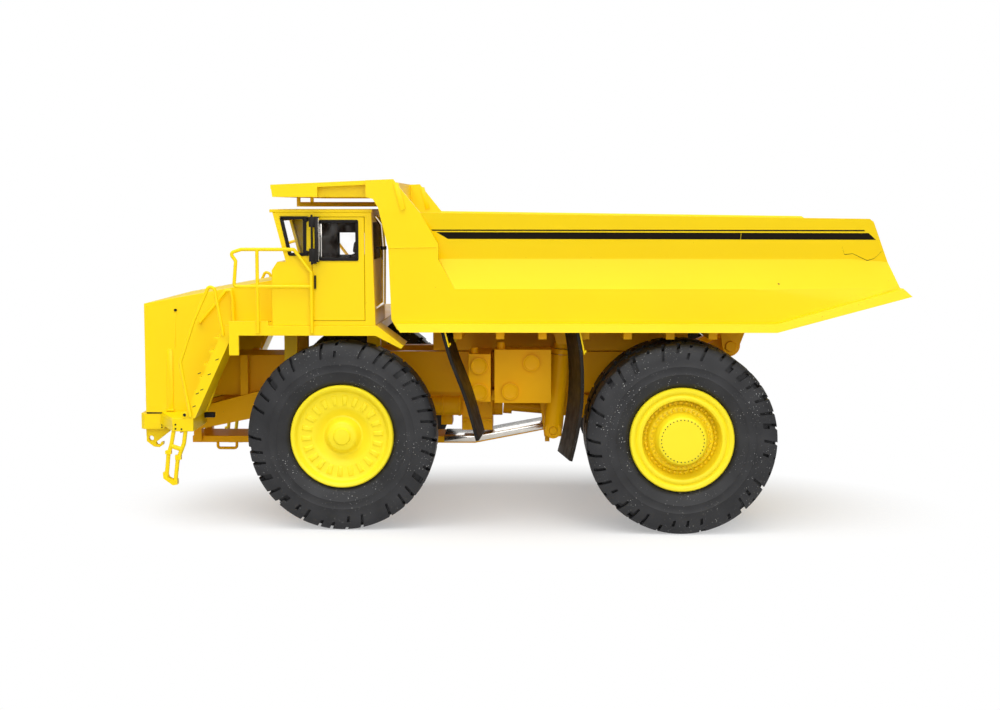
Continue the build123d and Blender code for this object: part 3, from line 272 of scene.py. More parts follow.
def lathe(centre, profile, sides):
    """Turn a closed piece about the wheel axis from rows of (radius, distance outward)."""
    x, y, z = centre
    outer = -1 if y < 0 else 1
    object_mode()
    radius, offset = profile[0]
    bpy.ops.mesh.primitive_circle_add(
        vertices=sides, radius=radius * MM, fill_type="NGON",
        location=at(x, y + outer * offset, z), rotation=(math.pi / 2, 0, 0))
    body = bpy.context.object
    apply_place(body)
    edit(body)
    bpy.ops.mesh.select_all(action="SELECT")
    for (radius, offset), (next_radius, next_offset) in zip(profile, profile[1:]):
        push(0, outer * (next_offset - offset), 0)
        share = next_radius / radius
        bpy.ops.transform.resize(value=(share, 1, share),
                                 center_override=at(x, y + outer * next_offset, z))
    object_mode()
    return body


def turn_about(place, degrees):
    """A turn about the line across the truck through a place."""
    hub = at(*place)
    swing = Matrix.Rotation(math.radians(degrees), 4, "Y")
    return Matrix.Translation(hub) @ swing @ Matrix.Translation(-hub)


def ring_of(body, x, z, count, start):
    """Copies of a placed piece all round a wheel from a start angle, joined to one."""
    turns = [start + 360 * index / count for index in range(count)]
    pieces = [copied(body, turn_about((x, 0, z), turn)) for turn in turns]
    bpy.data.objects.remove(body)
    return joined(pieces)


# Materials

white = (1, 1, 1, 1)
enamel_ior = 1.5
rubber_ior = 1.52
acrylic_ior = 1.49
# Lowest and highest roughness
enamel_rough = (0.30, 0.40)
rubber_rough = (0.42, 0.62)


def linear(hex_colour):
    """A colour written as sRGB hex, as linear red, green, blue and alpha."""
    parts = [int(hex_colour[i:i + 2], 16) / 255 for i in (1, 3, 5)]
    return [p / 12.92 if p <= 0.04045 else ((p + 0.055) / 1.055) ** 2.4 for p in parts] + [1.0]


def add(tree, kind, settings=(), **sockets):
    """Add a node with its settings; sockets go by name, or by number as in0, in1."""
    made = tree.nodes.new(kind)
    for key, value in dict(settings).items():
        setattr(made, key, value)
    for key, value in sockets.items():
        numbered = key.startswith("in") and key[2:].isdigit()
        socket = made.inputs[int(key[2:])] if numbered else made.inputs[key.replace("_", " ")]
        if isinstance(value, bpy.types.NodeSocket):
            tree.links.new(value, socket)
        else:
            socket.default_value = value
    return made


def new_material(name):
    """A material with a shader, an output and Object coordinates."""
    made = bpy.data.materials.new(name)
    made.use_nodes = True
    tree = made.node_tree
    tree.nodes.clear()
    shader = add(tree, "ShaderNodeBsdfPrincipled")
    add(tree, "ShaderNodeOutputMaterial", Surface=shader.outputs[0])
    spot = add(tree, "ShaderNodeTexCoord").outputs["Object"]
    return made, tree, shader, spot


def mixed(tree, share, low, high):
    """A colour between two others, each a hex text or a socket."""
    made = add(tree, "ShaderNodeMix", {"data_type": "RGBA"})
    for slot, value in ((0, share), (6, low), (7, high)):
        if isinstance(value, str):
            made.inputs[slot].default_value = linear(value)
        elif isinstance(value, bpy.types.NodeSocket):
            tree.links.new(value, made.inputs[slot])
        else:
            made.inputs[slot].default_value = value
    return made.outputs[2]


def between(tree, value, low, high, to_low=0.0, to_high=1.0):
    """A value's share between two bounds, mapped to two others and clamped."""
    return add(tree, "ShaderNodeMapRange", Value=value, From_Min=low, From_Max=high,
               To_Min=to_low, To_Max=to_high).outputs[0]


def times(tree, one, other):
    """Two values multiplied."""
    return add(tree, "ShaderNodeMath", {"operation": "MULTIPLY"}, in0=one, in1=other).outputs[0]


def noise(tree, spot, mm, detail=2.0):
    """Noise whose blots are about so many millimetres across."""
    made = add(tree, "ShaderNodeTexNoise", Vector=spot, Scale=1 / (mm * MM), Detail=detail)
    return made.outputs["Fac"]


def enamel(name, colour, deep, worn, gloss=0.24):
    """Gloss enamel sprayed on cast metal: rich and smooth, with orange peel and fine dirt."""
    made, tree, shader, spot = new_material(name)
    # The coat's thickness drifts over about 30 mm
    tone = mixed(tree, noise(tree, spot, 30.0, 3.0), colour, deep)
    # Specks of dirt about 0.5 mm across, only here and there
    dirt = between(tree, noise(tree, spot, 0.9, 4.0), 0.745, 0.79)
    tone = mixed(tree, dirt, tone, worn)
    tree.links.new(tone, shader.inputs["Base Color"])
    # Orange peel of sprayed paint, 20 micron deep, drawn at 0.6 mm from crest to crest to show
    peel = add(tree, "ShaderNodeBump", Strength=0.08, Distance=0.02 * MM,
               Height=noise(tree, spot, 0.6))
    tree.links.new(peel.outputs[0], shader.inputs["Normal"])
    # The gloss wanders a little over about 14 mm, where hands have held the model
    tree.links.new(between(tree, noise(tree, spot, 14.0), 0.3, 0.7, *enamel_rough),
                   shader.inputs["Roughness"])
    shader.inputs["IOR"].default_value = enamel_ior
    shader.inputs["Specular IOR Level"].default_value = gloss
    return made


def moulded_rubber(name, colour, dusty, dust, gloss):
    """Moulded black rubber: satin, greyed by handling, with grains of white dust."""
    made, tree, shader, spot = new_material(name)
    tone = mixed(tree, between(tree, noise(tree, spot, 6.0, 6.0), 0.35, 0.7), colour, dusty)
    # Grains of dust about 0.25 mm across, gathered in patches of about 9 mm
    grain = between(tree, noise(tree, spot, 0.35, 1.0), 0.715, 0.74)
    patch = between(tree, noise(tree, spot, 9.0, 3.0), 0.45, 0.6)
    tone = mixed(tree, times(tree, grain, patch), tone, dust)
    tree.links.new(tone, shader.inputs["Base Color"])
    # The mould's own grain, 50 micron deep and about 0.8 mm wide
    bump = add(tree, "ShaderNodeBump", Strength=0.25, Distance=0.05 * MM,
               Height=noise(tree, spot, 0.8, 5.0))
    tree.links.new(bump.outputs[0], shader.inputs["Normal"])
    tree.links.new(between(tree, noise(tree, spot, 3.0, 4.0), 0.3, 0.7, *rubber_rough),
                   shader.inputs["Roughness"])
    shader.inputs["IOR"].default_value = rubber_ior
    shader.inputs["Specular IOR Level"].default_value = gloss
    return made


def flat_paint(name, colour, other, rough, blot=2.0, metallic=0.0, gloss=0.5):
    """A plain coat or bare metal, slightly uneven in tone and gloss over so many millimetres."""
    made, tree, shader, spot = new_material(name)
    cloud = noise(tree, spot, blot, 4.0)
    tree.links.new(mixed(tree, cloud, colour, other), shader.inputs["Base Color"])
    tree.links.new(between(tree, cloud, 0.3, 0.7, rough - 0.05, rough + 0.07),
                   shader.inputs["Roughness"])
    shader.inputs["Metallic"].default_value = metallic
    shader.inputs["Specular IOR Level"].default_value = gloss
    return made


def clear_acrylic(name):
    """Clear moulded acrylic: thin, bright, with a faint haze of dust."""
    made, tree, shader, spot = new_material(name)
    haze = between(tree, noise(tree, spot, 2.5, 4.0), 0.4, 0.8, 0.0, 0.04)
    tree.links.new(haze, shader.inputs["Alpha"])
    shader.inputs["Base Color"].default_value = white
    shader.inputs["Roughness"].default_value = 0.05
    shader.inputs["IOR"].default_value = acrylic_ior
    return made


# Sprayed gloss enamel on the cast body: clean warm yellow with a low, even shine
body_enamel = enamel("body_enamel", "#FCDB02", "#F8D301", "#8A5E08")
# The same enamel below the bed, painted deeper and more amber as painted shade under the bed, and
# duller
shade_deepened_enamel = enamel("shade_deepened_enamel", "#FDBD01", "#F7B301", "#6E4A08", gloss=0.12)
# Paler enamel on the cast rims: the brightest yellow of the model
wheel_enamel = enamel("wheel_enamel", "#FBE82C", "#F9E122", "#8A6A10")
# Moulded tyre rubber: satin charcoal that shows white dust
tyre_rubber = moulded_rubber("tyre_rubber", "#212123", "#303032", "#C4C4C1", 0.32)
# Thin moulded sheet rubber: browner and duller than the tyres
flap_rubber = moulded_rubber("flap_rubber", "#17130F", "#2A2520", "#77716A", 0.14)
# Extruded rubber seal: a matt black line round a pane
black_rubber = flat_paint("black_rubber", "#0E0B0A", "#181412", 0.5, gloss=0.2)
# Black enamel on small castings: near black with a soft sheen
black_enamel = flat_paint("black_enamel", "#110D0A", "#1B1510", 0.4, gloss=0.25)
# Printed vinyl film of the stripes: flat brown black, even from end to end
stripe_film = flat_paint("stripe_film", "#110C04", "#1A1308", 0.45, 12.0, gloss=0.1)
# Moulded ABS inside the cab: dark brown grey and matt
cab_plastic = flat_paint("cab_plastic", "#44362D", "#524339", 0.6, gloss=0.3)
# Ground steel: warm grey with a broad, soft mirror
bright_steel = flat_paint("bright_steel", "#B9B3AA", "#A59E94", 0.3, 1.0, metallic=1.0)
# Polished steel: almost white, with a sharp mirror
polished_steel = flat_paint("polished_steel", "#E4E0D9", "#D2CDC4", 0.16, 3.0, metallic=1.0)
# Pressed lamp glass over a silvered back: pale and glossy
lamp_glass = flat_paint("lamp_glass", "#E6E9EB", "#CFD5D8", 0.12, 3.0)
# Clear moulded acrylic panes: seen through, but for a little dust
clear_panes = clear_acrylic("clear_panes")


# Wheels

wheelbase = 96.1
axle_z = 26.9
front_y = -42.65
twin_y = (-31.35, -47.65)
lug_count = 38
# Each lug takes five sides of the tyre: one for its notch and four for its block
lug_parts = 5
tyre_sides = lug_count * lug_parts
notch_low = 22.9
notch_deep = 1.4
# A plain band this wide runs on each side of the tread's middle
crown_half = 1.05
# Which of a lug's parts is its notch, on the outer and on the inner half of the tread
notch_parts = (0, 2)
tyre_half_profile = (
    # radius, distance from the tyre's middle
    (14.78, 4.9), (15.2, 5.55), (16.4, 6.3), (18.3, 6.6), (18.55, 6.76), (18.85, 6.66),
    (20.4, 6.72), (20.75, 6.85), (21.1, 6.72), (22.85, 6.7), (24.6, 6.5), (26.1, 6.05),
    (26.75, 5.4), (26.9, 4.4), (26.9, 1.0),
)
tread_twist = (
    # radius from which the tread turns on, degrees
    (22.95, 0.9), (24.7, 0.9), (26.2, 0.5), (26.8, 0.4),
)


def part_at(spot, x, sides, parts):
    """Which part of its lug or pad a place on a wheel belongs to."""
    turn = math.degrees(math.atan2(spot.z - axle_z, spot.x - x)) % 360
    return int(turn / 360 * sides) % parts


def tyre(x, y):
    """Haul tyre with ribbed walls and a tread of blocks parted by deep slanted notches."""
    profile = list(tyre_half_profile) + [(r, -offset) for r, offset in reversed(tyre_half_profile)]
    body = lathe((x, y, axle_z), profile, tyre_sides)
    outer = -1 if y < 0 else 1
    bead = tyre_half_profile[0][1]
    # The two end caps go, and a barrel joins the beads
    edit(body)
    pick(body, lambda spot, normal: abs(spot.x - x) < 0.1 and abs(spot.z - axle_z) < 0.1)
    bpy.ops.mesh.delete(type="FACE")
    pick(body, lambda spot, way: abs(abs(spot.y - y) - bead) < 0.01 and abs(way.y) < 0.5, "EDGE")
    bpy.ops.mesh.bridge_edge_loops()

    def notched(spot, normal):
        across = (spot.y - y) * outer
        reach = math.hypot(spot.x - x, spot.z - axle_z)
        wanted = notch_parts[0] if across > 0 else notch_parts[1]
        on_tread = reach > notch_low and abs(across) > crown_half
        return on_tread and part_at(spot, x, tyre_sides, lug_parts) == wanted

    outward(body)
    edit(body)
    pick(body, notched)
    push(0, 0, 0)
    bpy.ops.transform.shrink_fatten(value=-notch_deep * MM)
    # The blocks lean round the tyre, a little more from ring to ring
    for reach, angle in tread_twist:
        pick(body, lambda spot, normal: math.hypot(spot.x - x, spot.z - axle_z) > reach, "VERT")
        bpy.ops.transform.rotate(value=-math.radians(angle), orient_axis="Y",
                                 center_override=at(x, y, axle_z))
    object_mode()
    return body


front_rim_profile = (
    # radius, distance outward from the wheel's middle
    (3.2, 3.4), (3.2, -4.3), (6.2, -4.3), (7.2, 1.6), (13.3, 2.4), (13.3, -6.3), (14.7, -6.3),
    (14.72, 5.4), (14.6, 6.05), (14.3, 6.3), (13.75, 6.25), (13.3, 5.9), (13.0, 5.2),
    (12.75, 4.75), (12.3, 4.5), (11.7, 4.42), (8.8, 4.25), (8.2, 4.1), (7.4, 3.6), (6.4, 2.9),
    (5.7, 2.6), (5.25, 2.75), (4.75, 3.6), (4.4, 4.6), (4.1, 5.15), (3.5, 5.45), (2.55, 5.6),
    (2.3, 5.95), (2.15, 6.2), (1.3, 6.32), (0.3, 6.36),
)
pad_count = 22
# Each pad takes three of six sides of the rim, and the gap after it the other three
pad_parts = 6
front_rim_sides = pad_count * pad_parts
pad_low, pad_high = 8.9, 11.6
pad_slope, pad_rise = 0.22, 0.34
pad_crown, pad_crown_rise = 0.16, 0.07


def front_rim(x, y):
    """Front rim: rolled flange, dish with a ring of soft raised pads and a domed hub."""
    body = lathe((x, y, axle_z), front_rim_profile, front_rim_sides)
    outward(body)
    edit(body)

    def on_pad(spot, normal):
        reach = math.hypot(spot.x - x, spot.z - axle_z)
        on_dish = abs(spot.y) - abs(y) > 4.0 and abs(normal.y) > 0.9
        in_ring = pad_low < reach < pad_high
        return in_ring and on_dish and part_at(spot, x, front_rim_sides, pad_parts) < pad_parts / 2

    pick(body, on_pad)
    for wide, high in ((pad_slope, pad_rise), (pad_crown, pad_crown_rise)):
        bpy.ops.mesh.inset(thickness=wide * MM, depth=high * MM, use_individual=False)
    object_mode()
    return body


rear_rim_profile = (
    # radius, distance outward from the outer tyre's middle
    (4.2, 1.0), (4.2, -22.0), (8.4, -22.0), (8.8, -6.0), (13.3, -8.0), (13.3, -22.4),
    (14.7, -22.4), (14.72, 5.4), (14.65, 6.1), (14.35, 6.5), (13.7, 6.55), (13.25, 6.35),
    (12.98, 5.95), (12.78, 5.78), (12.55, 5.95), (12.25, 6.25), (11.7, 6.3), (11.25, 6.05),
    (11.02, 5.4), (10.85, 3.2), (10.6, 1.4), (10.2, 0.9), (9.7, 1.0), (9.3, 1.7), (9.1, 2.5),
    (8.9, 2.75), (7.9, 2.8), (7.6, 3.0), (7.35, 4.3), (7.05, 6.2), (6.8, 7.5), (6.6, 7.95),
    (6.3, 8.12), (5.5, 8.15), (0.4, 8.15),
)
rear_rim_sides = 144
dish_bolts = (
    # reach from the hub, foot and head outward from the tyre's middle, count, first turn
    (9.95, 0.8, 1.75, 40, 0.0),
    (8.35, 2.6, 3.45, 36, 5.0),
)
dish_bolt_radius = 0.5
stud_reach = 5.95
stud_foot, stud_head = 8.1, 8.24
stud_radius = 0.17
stud_count = 36
stud_start = 4.0


def rear_rims(x, y):
    """Rear rims: rolled flange, deep dish and the proud final drive cover."""
    body = lathe((x, y, axle_z), rear_rim_profile, rear_rim_sides)
    outward(body)
    return body


def drive_bolts(x, y):
    """Two rings of heavy bolts round the final drive cover, deep in the dish."""
    rings = []
    for reach, foot, head, count, start in dish_bolts:
        bolt = stud(x + reach, axle_z, (y - foot, y - head), dish_bolt_radius, 6)
        rings.append(ring_of(bolt, x, axle_z, count, start))
    return joined(rings)


def hub_studs(x, y):
    """Small dark heads round the edge of the final drive cover."""
    one = stud(x + stud_reach, axle_z, (y - stud_foot, y - stud_head), stud_radius, 8)
    return ring_of(one, x, axle_z, stud_count, stud_start)


def wheels():
    """Tyres and rims of all wheels, each riding on its own turning body."""
    pair(tyre(0, front_y), "tyre_front_{side}", tyre_rubber, "tyre_rubber", "front_wheel_{side}",
         ["front_tyre_{side}"], smooth=32)
    twins = joined([tyre(wheelbase, y) for y in twin_y])
    pair(twins, "tyres_rear_{side}", tyre_rubber, "tyre_rubber", "rear_wheels_{side}",
         ["rear_tyres_{side}"], smooth=32)
    pair(front_rim(0, front_y), "rim_front_{side}", wheel_enamel, "wheel_paint",
         "front_wheel_{side}", ["front_rim_{side}"], smooth=40)
    pair(rear_rims(wheelbase, twin_y[1]), "rims_rear_{side}", wheel_enamel, "wheel_paint",
         "rear_wheels_{side}", ["rear_rims_{side}"], smooth=40)
    pair(drive_bolts(wheelbase, twin_y[1]), "drive_bolts_{side}", body_enamel, "body_paint",
         "rear_wheels_{side}", edge=0.08)
    pair(hub_studs(wheelbase, twin_y[1]), "hub_studs_{side}", black_enamel, "trim_black",
         "rear_wheels_{side}", smooth=40)


# Bed decoration and edges

beside_bed_y = -62
film_thick = 0.03
film_lift = 0.02
# Finer than the film, so that merging doubles leaves its two faces apart
film_merge = 0.0005
stripes = (
    # thin line, then the broad stripe before and behind its narrow break
    ((26.0, 85.72), (145.6, 85.62), (145.9, 85.26), (26.3, 85.36)),
    ((27.4, 85.0), (111.7, 84.82), (111.7, 82.97), (30.6, 83.1)),
    ((111.82, 84.82), (146.9, 84.75), (149.1, 82.9), (111.82, 82.97)),
)
crack = (
    # x, z, half width of the hairline crack in the paint
    (139.95, 80.96, 0.02), (140.86, 78.75, 0.07), (143.06, 79.03, 0.05), (147.27, 77.09, 0.08),
    (149.18, 77.64, 0.05), (151.29, 79.86, 0.02),
)


def on_bed_side(points):
    """A thin film laid on the outside of the bed's side wall, from (x, z) corners."""
    body = sheet(in_side_view(points, beside_bed_y))
    modified(body, "SHRINKWRAP", target=frame["nodes"]["bed_shell"], wrap_method="PROJECT",
             use_project_y=True, use_positive_direction=True, use_negative_direction=False,
             offset=film_lift * MM)
    modified(body, "SOLIDIFY", thickness=film_thick * MM, offset=0)
    outward(body, merge=film_merge)
    return body


def bed_stripes():
    """A broad dark stripe with slanted ends under a thin line, on each side of the bed."""
    films = [on_bed_side(outline) for outline in stripes]
    pair(joined(films), "stripes_{side}", stripe_film, "trim_black", "bed")


cap_low_y = -56.65
cap_top_y = -56.02
cap_deep = 0.9
flange_low = ((17.4, 57.3), (121.7, 57.3), (158.6, 67.3))
flange_top = ((15.9, 59.6), (121.7, 59.6), (156.2, 69.5))
lip_outline = ((15.6, 98.6), (17.1, 98.6), (19.1, 91.4), (17.6, 90.9))
lip_y, lip_thick = -54.0, 2.1
crease_outline = ((14.0, 80.55), (27.4, 80.75), (27.4, 81.0), (14.0, 80.8))
crease_y, crease_thick = -54.2, 0.65


def bed_edges():
    """Sloping caps on the bed's bottom flange, and a lip and crease at its front corner."""
    pieces = []
    for low, top in zip(zip(flange_low, flange_low[1:]), zip(flange_top, flange_top[1:])):
        points = in_side_view(low, cap_low_y) + in_side_view(reversed(top), cap_top_y)
        pieces.append(plate(points, (0, cap_deep, 0)))
    pair(joined(pieces), "flange_caps_{side}", body_enamel, "body_paint", "bed")
    lip = plate(in_side_view(lip_outline, lip_y), (0, -lip_thick, 0))
    crease = plate(in_side_view(crease_outline, crease_y), (0, -crease_thick, 0))
    pair(joined([lip, crease]), "corner_lips_{side}", body_enamel, "body_paint", "bed", edge=0.1)


def bed_crack():
    """A hairline crack in the paint near the tail, on the driver's side."""
    pieces = []
    for (x, z, half), (next_x, next_z, next_half) in zip(crack, crack[1:]):
        pieces.append(on_bed_side([(x, z + half), (next_x, next_z + next_half),
                                   (next_x, next_z - next_half), (x, z - half)]))
    dress(joined(pieces), "paint_crack", stripe_film, "trim_black", "bed")


# Cab trim

cab_side = -49.0
cab_far = -19.0
quarter_window = ((-16.6, 89.0), (-9.6, 89.0), (-9.8, 78.6), (-14.1, 78.6))
door_window = ((-5.9, 88.0), (4.9, 88.0), (4.9, 77.2), (-5.9, 77.2))
far_window = ((-4.0, 87.6), (6.2, 87.6), (6.2, 77.2), (-4.0, 77.2))
seal_wide = 0.85
seal_thick = 1.3
seal_corner = 0.5
# How far a seal reaches past its pane's outline, and how deep its middle stands in the wall
seal_grow = 0.35
seal_sink = 0.35


def seal(points):
    """Rubber seal round a pane: its outline inset, opened and thickened."""
    body = sheet(points)
    edit(body, "VERT")
    bpy.ops.mesh.select_all(action="SELECT")
    bpy.ops.mesh.bevel(offset=seal_corner * MM, segments=4, affect="VERTICES")
    bpy.ops.mesh.select_mode(type="FACE")
    bpy.ops.mesh.select_all(action="SELECT")
    bpy.ops.mesh.inset(thickness=seal_wide * MM)
    bpy.ops.mesh.delete(type="FACE")
    object_mode()
    modified(body, "SOLIDIFY", thickness=seal_thick * MM, offset=0)
    return body


def grown(points, by):
    """A four-cornered outline moved outward from its middle."""
    mid_x = sum(x for x, z in points) / 4
    mid_z = sum(z for x, z in points) / 4
    return [(x + math.copysign(by, x - mid_x), z + math.copysign(by, z - mid_z))
            for x, z in points]


def window_seals():
    """Black seals of the quarter, door and far windows."""
    near_y = cab_side + seal_sink
    far_y = cab_far - seal_sink
    windows = ((quarter_window, near_y), (door_window, near_y), (far_window, far_y))
    pieces = [seal(in_side_view(grown(outline, seal_grow), y)) for outline, y in windows]
    dress(joined(pieces), "window_seals", black_rubber, "trim_black", "chassis", edge=0.08)


handle_x = -6.95
handle_y = cab_side - 0.75
handle_z = (69.0, 72.8)
handle_radius = 0.3
handle_feet_z = (69.4, 72.4)
handle_foot_y = (cab_side + 0.1, cab_side - 0.8)
handle_foot_radius = 0.24


def door_handle():
    """Slim black pull with its two feet at the front edge of the door."""
    low, high = handle_z
    grip = rod((handle_x, handle_y, low), (handle_x, handle_y, high), handle_radius, 12)
    feet = [stud(handle_x, z, handle_foot_y, handle_foot_radius, 10) for z in handle_feet_z]
    dress(joined([grip] + feet), "door_handle", black_enamel, "trim_black", "chassis", edge=0.08)


floor_z = 59.7
ceiling_z = 89.2
far_lining_y = (-20.3, -19.97)
near_lining_y = cab_side + 1.2
lining_front = -14.4
lining_rear = 8.85
# The ceiling's lining reaches forward over the windscreen
ceiling_front = -17.6
ceiling_lining_z = (ceiling_z - 0.1, ceiling_z + 0.2)
rear_lining_thick = 0.3
floor_lining_thick = 0.25
# The far wall's lining stands a little below its window and hides the window's upper part
sill_drop = 0.1
blind_drop = 3.3
# Low and high corner of the bright channel behind the door pane's front edge
window_channel = ((-5.75, cab_side + 0.62, 77.5), (-5.15, cab_side + 0.85, 87.8))


def cab_linings():
    """Dark moulded linings: the far wall round its window, the ceiling, rear wall and floor."""
    low_y, high_y = far_lining_y
    front_x, window_top = far_window[0]
    rear_x, window_low = far_window[2]
    sill = window_low - sill_drop
    blind = window_top - blind_drop
    far_wall = (
        # (x, z) corners of the linings before, below, above and behind the window
        ((lining_front, floor_z), (front_x, ceiling_z)),
        ((front_x, floor_z), (lining_rear, sill)),
        ((front_x, blind), (lining_rear, ceiling_z)),
        ((rear_x, sill), (lining_rear, blind)),
    )
    pieces = [block((low_x, low_y, low_z), (high_x, high_y, high_z))
              for (low_x, low_z), (high_x, high_z) in far_wall]
    near = near_lining_y
    rear_low = lining_rear - rear_lining_thick
    floor_top = floor_z + floor_lining_thick
    ceiling_low, ceiling_top = ceiling_lining_z
    pieces += [
        block((ceiling_front, near, ceiling_low), (lining_rear, high_y, ceiling_top)),
        block((rear_low, near, floor_z), (lining_rear, high_y, ceiling_z)),
        block((lining_front, near, floor_z), (lining_rear, high_y, floor_top)),
    ]
    dress(joined(pieces), "cab_linings", cab_plastic, "cab_inside", "chassis", edge=0.1)
    dress(block(*window_channel), "window_channel", polished_steel, "bright_steel", "chassis",
          edge=0.1)


# The seat's pieces are placed from the foot of its cushion, and each has two corners
seat_x, seat_y, seat_z = -1.5, -34.5, 67.0
pedestal_half_x, pedestal_half_y = 2.3, 2.5
seat_cushion = ((-4.1, -4.3, 0.05), (3.5, 4.3, 2.5))
back_cushion = ((2.0, -4.1, 1.4), (4.2, 4.1, 11.6))
head_cushion = ((2.2, -2.4, 11.7), (4.0, 2.4, 15.1))
seat_round, back_round, head_round = 0.9, 0.8, 0.7
stay_x, stay_low, stay_high = 3.1, 10.8, 12.6
stay_radius = 0.25
stays_y = (-1.2, 1.2)
rake_place = (3.2, 0.0, 1.6)
rake_angle = 8
arms_y = (-4.6, 4.6)
arm_half = 0.5
arm_rear, arm_front = 3.6, -2.2
arm_low, arm_top = 5.0, 5.9


def on_seat(x, y, z):
    """A place in the cab from one that is counted from the foot of the seat's cushion."""
    return (seat_x + x, seat_y + y, seat_z + z)


def cushion(low, high, round_by):
    """A moulded cushion: a box with its edges well rounded and its faces crowned."""
    body = block(on_seat(*low), on_seat(*high))
    modified(body, "BEVEL", width=round_by * MM, segments=3, limit_method="NONE")
    modified(body, "SUBSURF", levels=2, render_levels=2)
    outward(body)
    return body


def driver_seat():
    """Driver's seat: sprung pedestal, cushion, raked back, head rest and arm rests."""
    pedestal = block((seat_x - pedestal_half_x, seat_y - pedestal_half_y, floor_z),
                     (seat_x + pedestal_half_x, seat_y + pedestal_half_y, seat_z))
    back = cushion(*back_cushion, back_round)
    rest = cushion(*head_cushion, head_round)
    stays = [rod(on_seat(stay_x, y, stay_low), on_seat(stay_x, y, stay_high), stay_radius, 10)
             for y in stays_y]
    upright = joined([back, rest] + stays)
    raked = copied(upright, turn_about(on_seat(*rake_place), rake_angle))
    bpy.data.objects.remove(upright)
    seat = cushion(*seat_cushion, seat_round)
    arms = [block(on_seat(arm_front, y - arm_half, arm_low),
                  on_seat(arm_rear, y + arm_half, arm_top)) for y in arms_y]
    dress(joined([pedestal, seat, raked] + arms), "driver_seat", cab_plastic, "cab_inside",
          "chassis", ["cab_seat"], edge=0.15)


pipe_line = ((9.7, 63.4), (11.8, 64.8), (11.95, 79.4), (11.35, 87.0), (9.7, 89.2))
pipe_y = -44.0
pipe_radius = 0.62
clamp_line = ((11.95, pipe_y, 79.9), (11.86, pipe_y, 80.9))
clamp_radius = 0.82
clamp_tab = ((9.7, pipe_y - 0.3, 80.2), (11.6, pipe_y + 0.3, 80.6))


def rear_pipe():
    """Polished pipe up the cab's rear wall, with a dark clamp near its middle."""
    spots = in_side_view(pipe_line, pipe_y)
    runs = [rod(start, end, pipe_radius, 20) for start, end in zip(spots, spots[1:])]
    for spot in spots[1:-1]:
        bpy.ops.mesh.primitive_uv_sphere_add(segments=20, ring_count=12, radius=pipe_radius * MM,
                                             location=at(*spot))
        ball = bpy.context.object
        apply_place(ball)
        runs.append(ball)
    dress(joined(runs), "cab_rear_pipe", polished_steel, "bright_steel", "chassis", smooth=50)
    pieces = [rod(*clamp_line, clamp_radius, 24), block(*clamp_tab)]
    dress(joined(pieces), "cab_rear_clamp", black_enamel, "trim_black", "chassis", edge=0.12)


# Low and high corners of the mirror's box and of its glass
mirror_housing = ((-6.5, cab_side - 4.4, 76.6), (-5.5, cab_side - 1.4, 89.3))
mirror_pane = ((-5.52, cab_side - 4.2, 77.0), (-5.42, cab_side - 1.6, 88.9))
mirror_tube_x = -7.5
mirror_tube_y = cab_side - 2.6
mirror_tube_z = (75.9, 89.8)
mirror_tube_radius = 0.32
# Pegs run from the tube to the box, and sleeves sit round the tube
peg_x = (-7.6, -6.2)
pegs_z = (76.4, 78.9, 86.6, 88.7)
peg_radius = 0.3
sleeve_x = (-8.3, -6.3)
sleeve_y = (cab_side - 2.9, cab_side - 2.2)
sleeves_z = ((76.7, 80.4), (86.4, 89.2))
# Arms run from a boss on the cab's side to the tube
mirror_arms_z = (79.0, 88.6)
mirror_arm_start = (-9.2, cab_side - 0.1)
mirror_arm_radius = 0.36
boss_y = (cab_side + 0.05, cab_side - 0.5)
boss_radius = 0.75


def mirror():
    """Driver's tall mirror: slim housing on a tube, with arms at its top and foot."""
    low, high = mirror_tube_z
    pieces = [
        block(*mirror_housing),
        rod((mirror_tube_x, mirror_tube_y, low), (mirror_tube_x, mirror_tube_y, high),
            mirror_tube_radius, 16),
    ]
    for z in pegs_z:
        pieces.append(rod((peg_x[0], mirror_tube_y, z), (peg_x[1], mirror_tube_y, z),
                          peg_radius, 12))
    for low, high in sleeves_z:
        pieces.append(block((sleeve_x[0], sleeve_y[0], low), (sleeve_x[1], sleeve_y[1], high)))
    for z in mirror_arms_z:
        pieces.append(rod((*mirror_arm_start, z), (mirror_tube_x, mirror_tube_y, z),
                          mirror_arm_radius, 14))
        pieces.append(stud(mirror_arm_start[0], z, boss_y, boss_radius, 16))
    dress(joined(pieces), "driver_mirror", black_enamel, "trim_black", "chassis", ["mirrors"],
          edge=0.14)
    dress(block(*mirror_pane), "mirror_glass", polished_steel, "bright_steel", "chassis",
          edge=0.04)


# Rubber flaps

flap_outer = -54.0
flap_wide = 18.0
flap_thick = 0.95
front_flap_line = (
    (29.0, 57.25), (30.2, 52.6), (31.8, 47.6), (34.9, 40.4), (36.9, 33.4), (38.75, 26.6),
)
rear_flap_line = (
    (66.65, 57.25), (67.5, 53.2), (68.05, 48.6), (68.25, 39.8), (67.6, 33.0), (66.3, 26.2),
    (64.95, 20.9),
)
flap_rows = (
    # name, line, how far back the inner edge stands from the outer one, foot of the straps
    ("front", front_flap_line, 1.2, 53.0),
    ("rear", rear_flap_line, -3.0, 51.0),
)
strap_thick = 0.4
strap_wide = 1.3
# The straps stand clear of the sheet behind it, and a little outside its outer edge
strap_clear = 0.02
strap_proud = 0.05
strap_bolt_radius = 0.42
strap_bolt_long = 0.4
strap_bolt_sink = 0.1
strap_bolt_rise = 0.8


